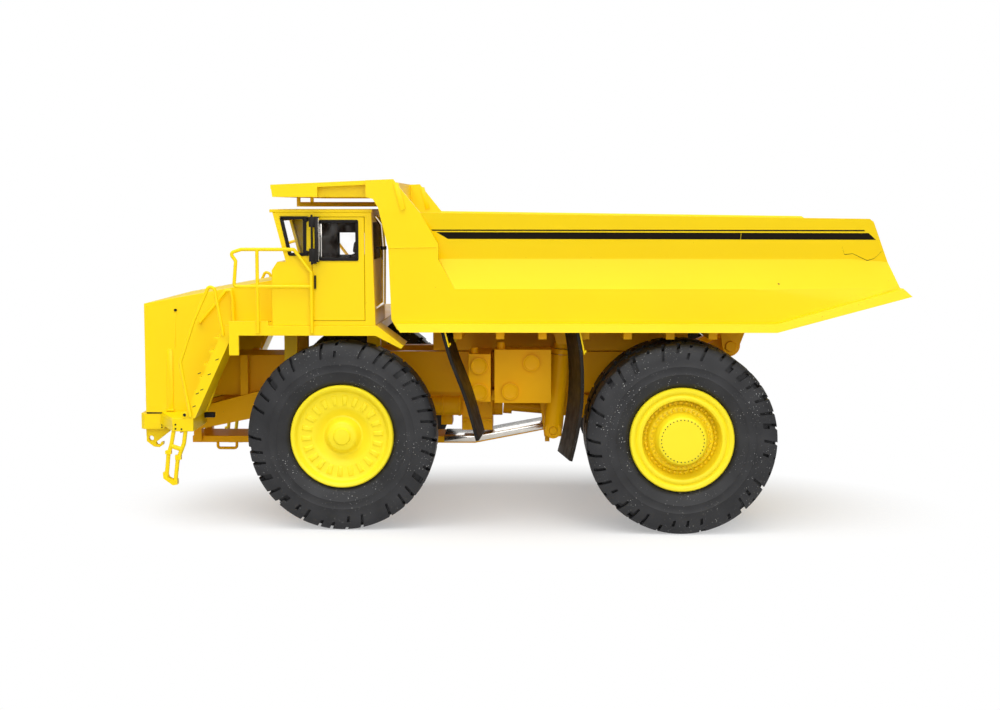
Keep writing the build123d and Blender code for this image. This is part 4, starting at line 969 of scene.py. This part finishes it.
def flap_sheet(line, yaw):
    """A hanging rubber sheet: drawn down along its line, curved and given its thickness."""
    (x, z), (next_x, next_z) = line[:2]
    inner = flap_outer + flap_wide
    body = sheet([(x, flap_outer, z), (next_x, flap_outer, next_z), (next_x + yaw, inner, next_z),
                  (x + yaw, inner, z)])
    edit(body)
    for (x, z), (next_x, next_z) in zip(line[1:], line[2:]):
        pick(body, lambda spot, way: abs(spot.z - z) < 0.01 and abs(way.y) > 0.9, "EDGE")
        push(next_x - x, 0, next_z - z)
    object_mode()
    modified(body, "SUBSURF", levels=3, render_levels=3, boundary_smooth="PRESERVE_CORNERS")
    modified(body, "SOLIDIFY", thickness=flap_thick * MM, offset=0)
    outward(body)
    return body


def flap_straps(line, yaw, low):
    """Two narrow painted straps that hold a flap's top from behind, each with a bolt."""
    x, z = line[0]
    foot_x = x + (line[1][0] - x) * (z - low) / (z - line[1][1])
    near = flap_thick / 2 + strap_clear
    far = near + strap_thick
    pieces = []
    for share in (0.0, 1.0 - strap_wide / flap_wide):
        shift = yaw * share
        y = flap_outer - strap_proud + flap_wide * share
        outline = [(x + near + shift, z), (x + far + shift, z), (foot_x + far + shift, low),
                   (foot_x + near + shift, low)]
        pieces.append(plate(in_side_view(outline, y), (0, strap_wide, 0)))
        bolt_x = foot_x + far + shift - strap_bolt_sink
        bolt_y, bolt_z = y + strap_wide / 2, low + strap_bolt_rise
        pieces.append(rod((bolt_x, bolt_y, bolt_z), (bolt_x + strap_bolt_long, bolt_y, bolt_z),
                          strap_bolt_radius, 6))
    return joined(pieces)


def flaps():
    """Front and rear flaps with their straps, on both sides of the bed."""
    for name, line, yaw, low in flap_rows:
        near = flap_sheet(line, yaw)
        dress(joined([near, other_side(near)]), name + "_flap_sheets", flap_rubber, "flap_rubber",
              "bed", [name + "_flaps"], edge=0.12)
        near = flap_straps(line, yaw, low)
        dress(joined([near, other_side(near)]), name + "_flap_straps", body_enamel, "body_paint",
              "bed", edge=0.08)


# Hoist cylinders

hoist_foot = (60.5, 25.0)
hoist_head = (63.0, 53.0)
hoist_y = -19.5
gland_nuts = (
    # tube, low and high end up the hoist's line from its foot pin, radius
    ("stage", 23.02, 24.62, 2.72),
    ("rod", 24.74, 26.5, 2.1),
)


def on_hoist(reach):
    """A place on the left hoist's line, so far up from its foot pin."""
    length = math.dist(hoist_foot, hoist_head)
    share = reach / length
    return (hoist_foot[0] + (hoist_head[0] - hoist_foot[0]) * share, hoist_y,
            hoist_foot[1] + (hoist_head[1] - hoist_foot[1]) * share)


def hoist_collars():
    """Painted gland nuts: one on the middle tube and one under the rod's eye."""
    for name, low, high, radius in gland_nuts:
        collar = rod(on_hoist(low), on_hoist(high), radius, 40)
        # The collars wear the enamel with painted shade, deeper than the body's
        pair(collar, "hoist_" + name + "_collar_{side}", shade_deepened_enamel, "body_paint",
             "hoist_" + name + "_{side}", edge=0.22, steps=3)


# Tank covers, belly and gearbox

tank_side = -33.45
tank_covers = ((38.65, 45.6), (38.65, 37.9), (53.9, 46.5), (47.7, 38.2))
cover_radius = 2.5
cover_thick = 0.65
cover_rim = 0.42
cover_slope, cover_sink = 0.12, 0.22
tank_bracket = ((41.4, -20.0, 33.9), (43.8, -13.05, 37.0))


def tank_cover(x, z):
    """A round inspection cover, with a raised rim round its sunk middle."""
    body = stud(x, z, (tank_side, tank_side - cover_thick), cover_radius, 48)
    edit(body)
    pick(body, lambda spot, normal: normal.y < -0.9)
    bpy.ops.mesh.inset(thickness=cover_rim * MM)
    bpy.ops.mesh.inset(thickness=cover_slope * MM, depth=-cover_sink * MM)
    object_mode()
    return body


def covers():
    """Round inspection covers on the two tanks, and the bracket between these."""
    pieces = [tank_cover(x, z) for x, z in tank_covers]
    pieces.append(block(*tank_bracket))
    # Covers and bracket wear the enamel with painted shade, deeper than the body's
    dress(joined(pieces), "tank_covers", shade_deepened_enamel, "body_paint", "chassis", edge=0.1)


belly_side = -8.0
skid_proud = 0.15
belly_skid = (
    (27.0, 21.25), (36.65, 21.25), (59.9, 25.62), (59.9, 24.0), (36.55, 19.5), (27.0, 19.5),
)


def belly_skid_plate():
    """Bare polished strip over the rear half of the painted belly guard."""
    body = plate(in_side_view(belly_skid, belly_side - skid_proud),
                 (0, 2 * (skid_proud - belly_side), 0))
    dress(body, "belly_skid", polished_steel, "bright_steel", "chassis", edge=0.1)


housing_x = (20.2, 32.3)
housing_y = -7.4
housing_z = 30.9
housing_radius = 3.1
housing_lips_x = (20.4, 26.2, 31.4)
housing_lip_wide = 0.8
housing_lip_radius = 3.4
rear_case_side = -7.1
case_x = (32.6, 41.9)
case_lips_z = ((31.7, 32.5), (25.9, 26.7))
case_lip_y = (rear_case_side - 0.6, rear_case_side + 0.5)
case_bolts_x = (33.8, 36.2, 38.6, 41.0)
case_bolt_y = (rear_case_side - 0.7, rear_case_side - 0.1)
case_bolt_drop = 0.3
case_bolt_radius = 0.4
# A round lid in the middle of the rear case, and an oil pan below the gearbox
lid_x, lid_z = 36.4, 29.2
lid_y = (rear_case_side + 0.2, rear_case_side - 0.9)
lid_radius = 1.6
oil_pan = ((25.9, -4.0, 24.2), (29.4, -0.2, 28.0))


def along_gearbox(low, high, radius):
    """A round length of the converter housing, along the truck."""
    return rod((low, housing_y, housing_z), (high, housing_y, housing_z), radius, 40)


def gearbox_relief():
    """Round converter housing on the gearbox's side, and lips and bolts on its rear case."""
    pieces = [along_gearbox(*housing_x, housing_radius)]
    for x in housing_lips_x:
        pieces.append(along_gearbox(x, x + housing_lip_wide, housing_lip_radius))
    for low, high in case_lips_z:
        pieces.append(block((case_x[0], case_lip_y[0], low), (case_x[1], case_lip_y[1], high)))
        for x in case_bolts_x:
            pieces.append(stud(x, low - case_bolt_drop, case_bolt_y, case_bolt_radius, 6))
    pieces.append(stud(lid_x, lid_z, lid_y, lid_radius, 32))
    pieces.append(block(*oil_pan))
    # The relief wears the enamel with painted shade, deeper than the body's
    pair(joined(pieces), "gearbox_relief_{side}", shade_deepened_enamel, "body_paint", "chassis",
         edge=0.15)


# Nose, stair, radiator and lamps

nose_side = -33.0
landing_side = -48.0
# Trim starts this far inside the wall on which it stands
trim_sink = 0.05
hood_bead_outline = (
    (-53.2, 32.3), (-53.1, 49.6), (-52.7, 50.4), (-51.6, 50.4), (-51.2, 49.6), (-51.3, 32.3),
)
hood_seam_outline = ((-50.75, 50.9), (-50.3, 62.6), (-50.0, 62.6), (-50.45, 50.9))
# A dark strip at the hood's foot: painted shade of the gap between hood and bumper
hood_gap_shade_outline = ((-59.3, 31.75), (-53.8, 31.75), (-53.8, 31.35), (-59.3, 31.35))
bead_thick, seam_thick, hood_gap_shade_thick = 0.4, 0.17, 0.15
bead_foot = ((-53.4, nose_side - 0.6, 32.2), (-51.0, nose_side + trim_sink, 32.9))
latch_x, latch_z = -50.2, 61.9
latch_y = (nose_side, nose_side - 0.45)
latch_radius = 0.42
landing_fitting = ((-41.6, -36.6, 30.7), (-38.7, -34.4, 32.1))


def on_hood_side(outline, thick):
    """A strip that stands on the hood's side, from (x, z) corners."""
    return plate(in_side_view(outline, nose_side + trim_sink), (0, -thick, 0))


def nose_trim():
    """Pressed bead, seam and latch on the hood's sides, and a dark strip under it as painted shade
    of the gap above the bumper.
    """
    beads = [on_hood_side(hood_bead_outline, bead_thick),
             on_hood_side(hood_seam_outline, seam_thick), block(*bead_foot)]
    pair(joined(beads), "hood_beads_{side}", body_enamel, "body_paint", "chassis", edge=0.15)
    # The latch, the fitting and the painted shade of the hood's gap share the black rubber
    rubbers = [on_hood_side(hood_gap_shade_outline, hood_gap_shade_thick),
               stud(latch_x, latch_z, latch_y, latch_radius, 12), block(*landing_fitting)]
    pair(joined(rubbers), "nose_rubbers_and_gap_shade_{side}", black_rubber, "trim_black", "chassis", edge=0.08)


# Dark marks at the stair's tread ends: painted shade of the gaps there
stair_shade_marks = (
    (-35.3, 48.7), (-37.6, 44.5), (-39.8, 40.1), (-42.1, 35.3), (-40.4, 44.8), (-41.1, 39.0),
)
shade_mark_outline = ((-0.5, -0.2), (0.4, 0.15), (0.5, 0.45), (-0.4, 0.1))
shade_mark_sink = 0.02
shade_mark_thick = 0.06
rivet_proud = 0.12
rivet_rows = (
    # wall, radius, (x, z) of each rivet
    (landing_side, 0.26, ((-47.5, 30.2), (-47.5, 29.0), (-45.8, 28.9))),
    (nose_side, 0.2, ((-54.9, 28.0), (-54.9, 27.3))),
)
foot_ring_x, foot_ring_z = -44.8, 33.0
foot_ring_y = (landing_side + 0.7, landing_side - 0.25)
foot_ring_radius = 0.95
foot_pin_y = (landing_side + 0.6, landing_side - 0.35)
foot_pin_radius = 0.45


def stair_trim():
    """Dark marks at the stair's tread ends as painted shade of the gaps there, a ring at its foot
    and rivets on the bumper.
    """
    pieces = []
    for x, z in stair_shade_marks:
        outline = [(x + off_x, z + off_z) for off_x, off_z in shade_mark_outline]
        pieces.append(plate(in_side_view(outline, landing_side + shade_mark_sink), (0, -shade_mark_thick, 0)))
    for side, radius, places in rivet_rows:
        pieces += [stud(x, z, (side + trim_sink, side - rivet_proud), radius, 12)
                   for x, z in places]
    pieces.append(stud(foot_ring_x, foot_ring_z, foot_pin_y, foot_pin_radius, 20))
    pair(joined(pieces), "stair_rivets_and_shade_marks_{side}", black_enamel, "trim_black", "chassis",
         smooth=40)
    ring = stud(foot_ring_x, foot_ring_z, foot_ring_y, foot_ring_radius, 24)
    pair(ring, "stair_foot_ring_{side}", body_enamel, "body_paint", "chassis", edge=0.15)


core_x = (-57.0, -55.2)
core_half = 31.6
core_z = (33.0, 62.4)
radiator_tank_high = 3.0
radiator_tank_proud = 0.5
# The core starts and ends this far inside the tanks' outer faces
core_inset = 1.0
# The core's wall stands behind the fins' front edges by this much
wall_back = 0.7
fin_deep = 1.0
fin_pitch = 1.3
fin_y = (0.4 - core_half, 0.75 - core_half)


def radiator():
    """Radiator behind the grille: a core of upright fins between a top and a foot tank."""
    front, rear = core_x
    low, high = core_z
    proud, tank_high = radiator_tank_proud, radiator_tank_high
    tanks = [block((front - proud, -core_half, foot), (rear + proud, core_half, foot + tank_high))
             for foot in (low, high - tank_high)]
    low, high = low + core_inset, high - core_inset
    wall = block((front + wall_back, -core_half, low), (rear, core_half, high))
    fins = block((front, fin_y[0], low), (front + fin_deep, fin_y[1], high))
    modified(fins, "ARRAY", count=int(2 * core_half / fin_pitch), use_relative_offset=False,
             use_constant_offset=True, constant_offset_displace=(0, fin_pitch * MM, 0))
    dress(joined([wall, fins]), "radiator_core", black_enamel, "trim_black", "chassis")
    dress(joined(tanks), "radiator_tanks", black_enamel, "trim_black", "chassis", edge=0.3)


lamps_y = (-21.0, 21.0, -27.4, 27.4)
lamp_z = 35.0
lens_x = (-59.9, -60.15)
lens_radius = 2.15
lens_steps = (
    # width and height of each step toward the lens's middle
    (0.35, 0.16), (0.6, 0.12), (0.6, 0.06),
)
ring_x = -60.02
ring_reach = lens_radius + 0.2
ring_radius = 0.26


def lamp_lens(y):
    """A glass lens that rises in three steps to its middle."""
    body = rod((lens_x[0], y, lamp_z), (lens_x[1], y, lamp_z), lens_radius, 40)
    edit(body)
    pick(body, lambda spot, normal: normal.x < -0.9)
    for wide, proud in lens_steps:
        bpy.ops.mesh.inset(thickness=wide * MM, depth=proud * MM)
    object_mode()
    return body


def lamp_ring(y):
    """A round wire ring about a lens."""
    bpy.ops.mesh.primitive_torus_add(
        major_segments=48, minor_segments=10, major_radius=ring_reach * MM,
        minor_radius=ring_radius * MM, location=at(ring_x, y, lamp_z),
        rotation=(0, math.pi / 2, 0))
    body = bpy.context.object
    apply_place(body)
    return body


def lamps():
    """Round headlamps: a stepped glass lens in a bright ring."""
    lenses = []
    rings = []
    for y in lamps_y:
        lenses.append(lamp_lens(y))
        rings.append(lamp_ring(y))
    dress(joined(lenses), "headlamp_lenses", lamp_glass, "window_glass", "chassis", smooth=40)
    dress(joined(rings), "headlamp_rings", bright_steel, "bright_steel", "chassis", smooth=60)


# Finishes of the nodes that keep their own shape

by_slot = {
    "body_paint": body_enamel, "wheel_paint": wheel_enamel, "tyre_rubber": tyre_rubber,
    "flap_rubber": flap_rubber, "window_glass": clear_panes, "trim_black": black_enamel,
    "cab_inside": cab_plastic, "bright_steel": bright_steel,
}
# Painted on the real model, though other steel of their slot is bare; they wear the enamel with
# painted shade
painted_nodes = {"hoist_pins": shade_deepened_enamel}
# Nodes with one of these words in their name wear the enamel with painted shade, deeper and more
# amber than the body's
shaded_node_words = (
    "frame", "tank", "transmission", "engine", "shaft", "axle", "knuckle", "tie_rod", "links",
    "hoist_barrel", "bracket", "belly", "strut", "ribs", "beams",
)
# Corners this close are one, and faces that bend less than this are one flat face
weld_within = 0.01
flat_below = 1.0
# Edges that bend less than this are shaded smooth, and sharper ones are rounded
smooth_below = 30
round_above = 35
edge_round = 0.15


def smooth_by_angle():
    """A node group that shades a mesh smooth apart from its sharp edges."""
    group = bpy.data.node_groups.new("smooth_by_angle", "GeometryNodeTree")
    group.interface.new_socket("Geometry", in_out="INPUT", socket_type="NodeSocketGeometry")
    group.interface.new_socket("Geometry", in_out="OUTPUT", socket_type="NodeSocketGeometry")
    given = add(group, "NodeGroupInput")
    faces = add(group, "GeometryNodeSetShadeSmooth", Geometry=given.outputs[0], Shade_Smooth=True)
    angle = add(group, "GeometryNodeInputMeshEdgeAngle")
    low = add(group, "ShaderNodeMath", {"operation": "LESS_THAN"}, in0=angle.outputs[0],
              in1=math.radians(smooth_below))
    edges = add(group, "GeometryNodeSetShadeSmooth", {"domain": "EDGE"},
                Geometry=faces.outputs[0], Shade_Smooth=low.outputs[0])
    add(group, "NodeGroupOutput", in0=edges.outputs[0])
    return group


def finish_nodes():
    """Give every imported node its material, smooth round faces and small round edges."""
    group = smooth_by_angle()
    for part in frame["record"]["subparts"]:
        cad = frame["nodes"][part["node"]]
        cad.data.materials.clear()
        finish = painted_nodes.get(part["node"], by_slot[part["material_slot"]])
        # Nodes under the bed take the enamel with painted shade in place of the body's
        if finish == body_enamel and any(word in part["node"] for word in shaded_node_words):
            finish = shade_deepened_enamel
        cad.data.materials.append(finish)
        if part["material_slot"] == "window_glass":
            continue
        weld = cad.modifiers.new("weld", "WELD")
        weld.merge_threshold = weld_within * MM
        flat = cad.modifiers.new("flat", "DECIMATE")
        flat.decimate_type = "DISSOLVE"
        flat.angle_limit = math.radians(flat_below)
        smooth = cad.modifiers.new("smooth", "NODES")
        smooth.node_group = group
        edge = cad.modifiers.new("edge", "BEVEL")
        edge.width = edge_round * MM
        edge.segments = 2
        edge.limit_method = "ANGLE"
        edge.angle_limit = math.radians(round_above)
        edge.harden_normals = True
        even = cad.modifiers.new("even", "WEIGHTED_NORMAL")
        even.keep_sharp = True


# Floor, light and camera; reaches and light places are in metres, from the frame's middle

floor_reach = 20.0
floor_white = 0.6
# The table's own glow, as the camera sees it
floor_lift = 0.36
# The table fades to plain white between these, in an oval that is slimmer along Y
shadow_reach = 0.066
fade_reach = 0.135
fade_shift = 0.015
fade_slim = 1.6
room_light = 0.42
soft_boxes = (
    # name, place, what it is aimed at, width and height, power in watts
    ("key", (-0.12, -0.3, 0.8), (0, 0, 0.03), (0.9, 0.7), 6.0),
    ("back", (0.2, 0.9, 0.5), (0, 0, 0.05), (0.9, 0.6), 2.2),
    ("fill", (0.1, -0.88, 0.38), (0, 0, 0.05), (0.9, 0.5), 3.45),
)
# The camera's place in the truck's millimetres, and its turns down and aside in radians
camera_place = (52.38, -492.66, 92.57)
camera_dip = 0.094843
camera_swing = 0.016655
focal_length = 56.88


def seen_as(tree, *kinds):
    """One for light paths of the given kinds, and nothing for all others."""
    path = add(tree, "ShaderNodeLightPath")
    total = path.outputs[kinds[0]]
    for kind in kinds[1:]:
        total = add(tree, "ShaderNodeMath", {"operation": "ADD", "use_clamp": True},
                    in0=total, in1=path.outputs[kind]).outputs[0]
    return total


def floor():
    """A white table, which turns to plain white away from the truck."""
    bpy.ops.mesh.primitive_plane_add(size=2 * floor_reach, location=(0, 0, 0))
    ground = bpy.context.object
    ground.name = "floor"
    made, tree, shader, spot = new_material("white_table")
    out = tree.nodes["Material Output"]
    tree.nodes.remove(shader)
    seen = seen_as(tree, "Is Camera Ray", "Is Glossy Ray", "Is Transmission Ray")
    oval = add(tree, "ShaderNodeVectorMath", {"operation": "MULTIPLY_ADD"}, in0=spot,
               in1=(1, fade_slim, 1), in2=(0, fade_shift * fade_slim, 0))
    away = add(tree, "ShaderNodeVectorMath", {"operation": "LENGTH"}, in0=oval.outputs[0])
    fade = between(tree, away.outputs["Value"], shadow_reach, fade_reach)
    matt = add(tree, "ShaderNodeBsdfDiffuse", Color=(floor_white, floor_white, floor_white, 1))
    glow = add(tree, "ShaderNodeEmission", Color=white, Strength=times(tree, floor_lift, seen))
    lit = add(tree, "ShaderNodeAddShader", in0=matt.outputs[0], in1=glow.outputs[0])
    plain = add(tree, "ShaderNodeEmission", Color=white, Strength=1.0)
    blend = add(tree, "ShaderNodeMixShader", in0=times(tree, fade, seen), in1=lit.outputs[0],
                in2=plain.outputs[0])
    tree.links.new(blend.outputs[0], out.inputs["Surface"])
    ground.data.materials.append(made)


def area(name, place, target, size, power):
    """A soft box aimed at a place."""
    light = bpy.data.lights.new(name, "AREA")
    light.shape = "RECTANGLE"
    light.size, light.size_y = size
    light.energy = power
    lamp = bpy.data.objects.new(name, light)
    bpy.context.scene.collection.objects.link(lamp)
    lamp.location = place
    lamp.rotation_euler = (Vector(target) - Vector(place)).to_track_quat("-Z", "Y").to_euler()


def world():
    """An even white room, dimmer as a light than the camera and the clear panes see it."""
    made = bpy.data.worlds.new("studio")
    bpy.context.scene.world = made
    made.use_nodes = True
    tree = made.node_tree
    tree.nodes.clear()
    seen = seen_as(tree, "Is Camera Ray", "Is Transmission Ray")
    power = between(tree, seen, 0, 1, room_light, 1.0)
    back = add(tree, "ShaderNodeBackground", Color=white, Strength=power)
    add(tree, "ShaderNodeOutputWorld", Surface=back.outputs[0])


def camera():
    """The photograph's low view from the driver's side."""
    lens = bpy.data.cameras.new("camera")
    lens.lens = focal_length
    lens.clip_start = 0.01
    eye = bpy.data.objects.new("camera", lens)
    bpy.context.scene.collection.objects.link(eye)
    eye.location = at(*camera_place)
    eye.rotation_euler = (math.pi / 2 - camera_dip, 0, camera_swing)
    bpy.context.scene.camera = eye


finish_nodes()
wheels()
bed_stripes()
bed_edges()
bed_crack()
window_seals()
door_handle()
cab_linings()
driver_seat()
rear_pipe()
mirror()
flaps()
hoist_collars()
covers()
belly_skid_plate()
gearbox_relief()
nose_trim()
stair_trim()
radiator()
lamps()
floor()
world()
for soft_box in soft_boxes:
    area(*soft_box)
camera()
bpy.context.scene.view_settings.view_transform = "Standard"
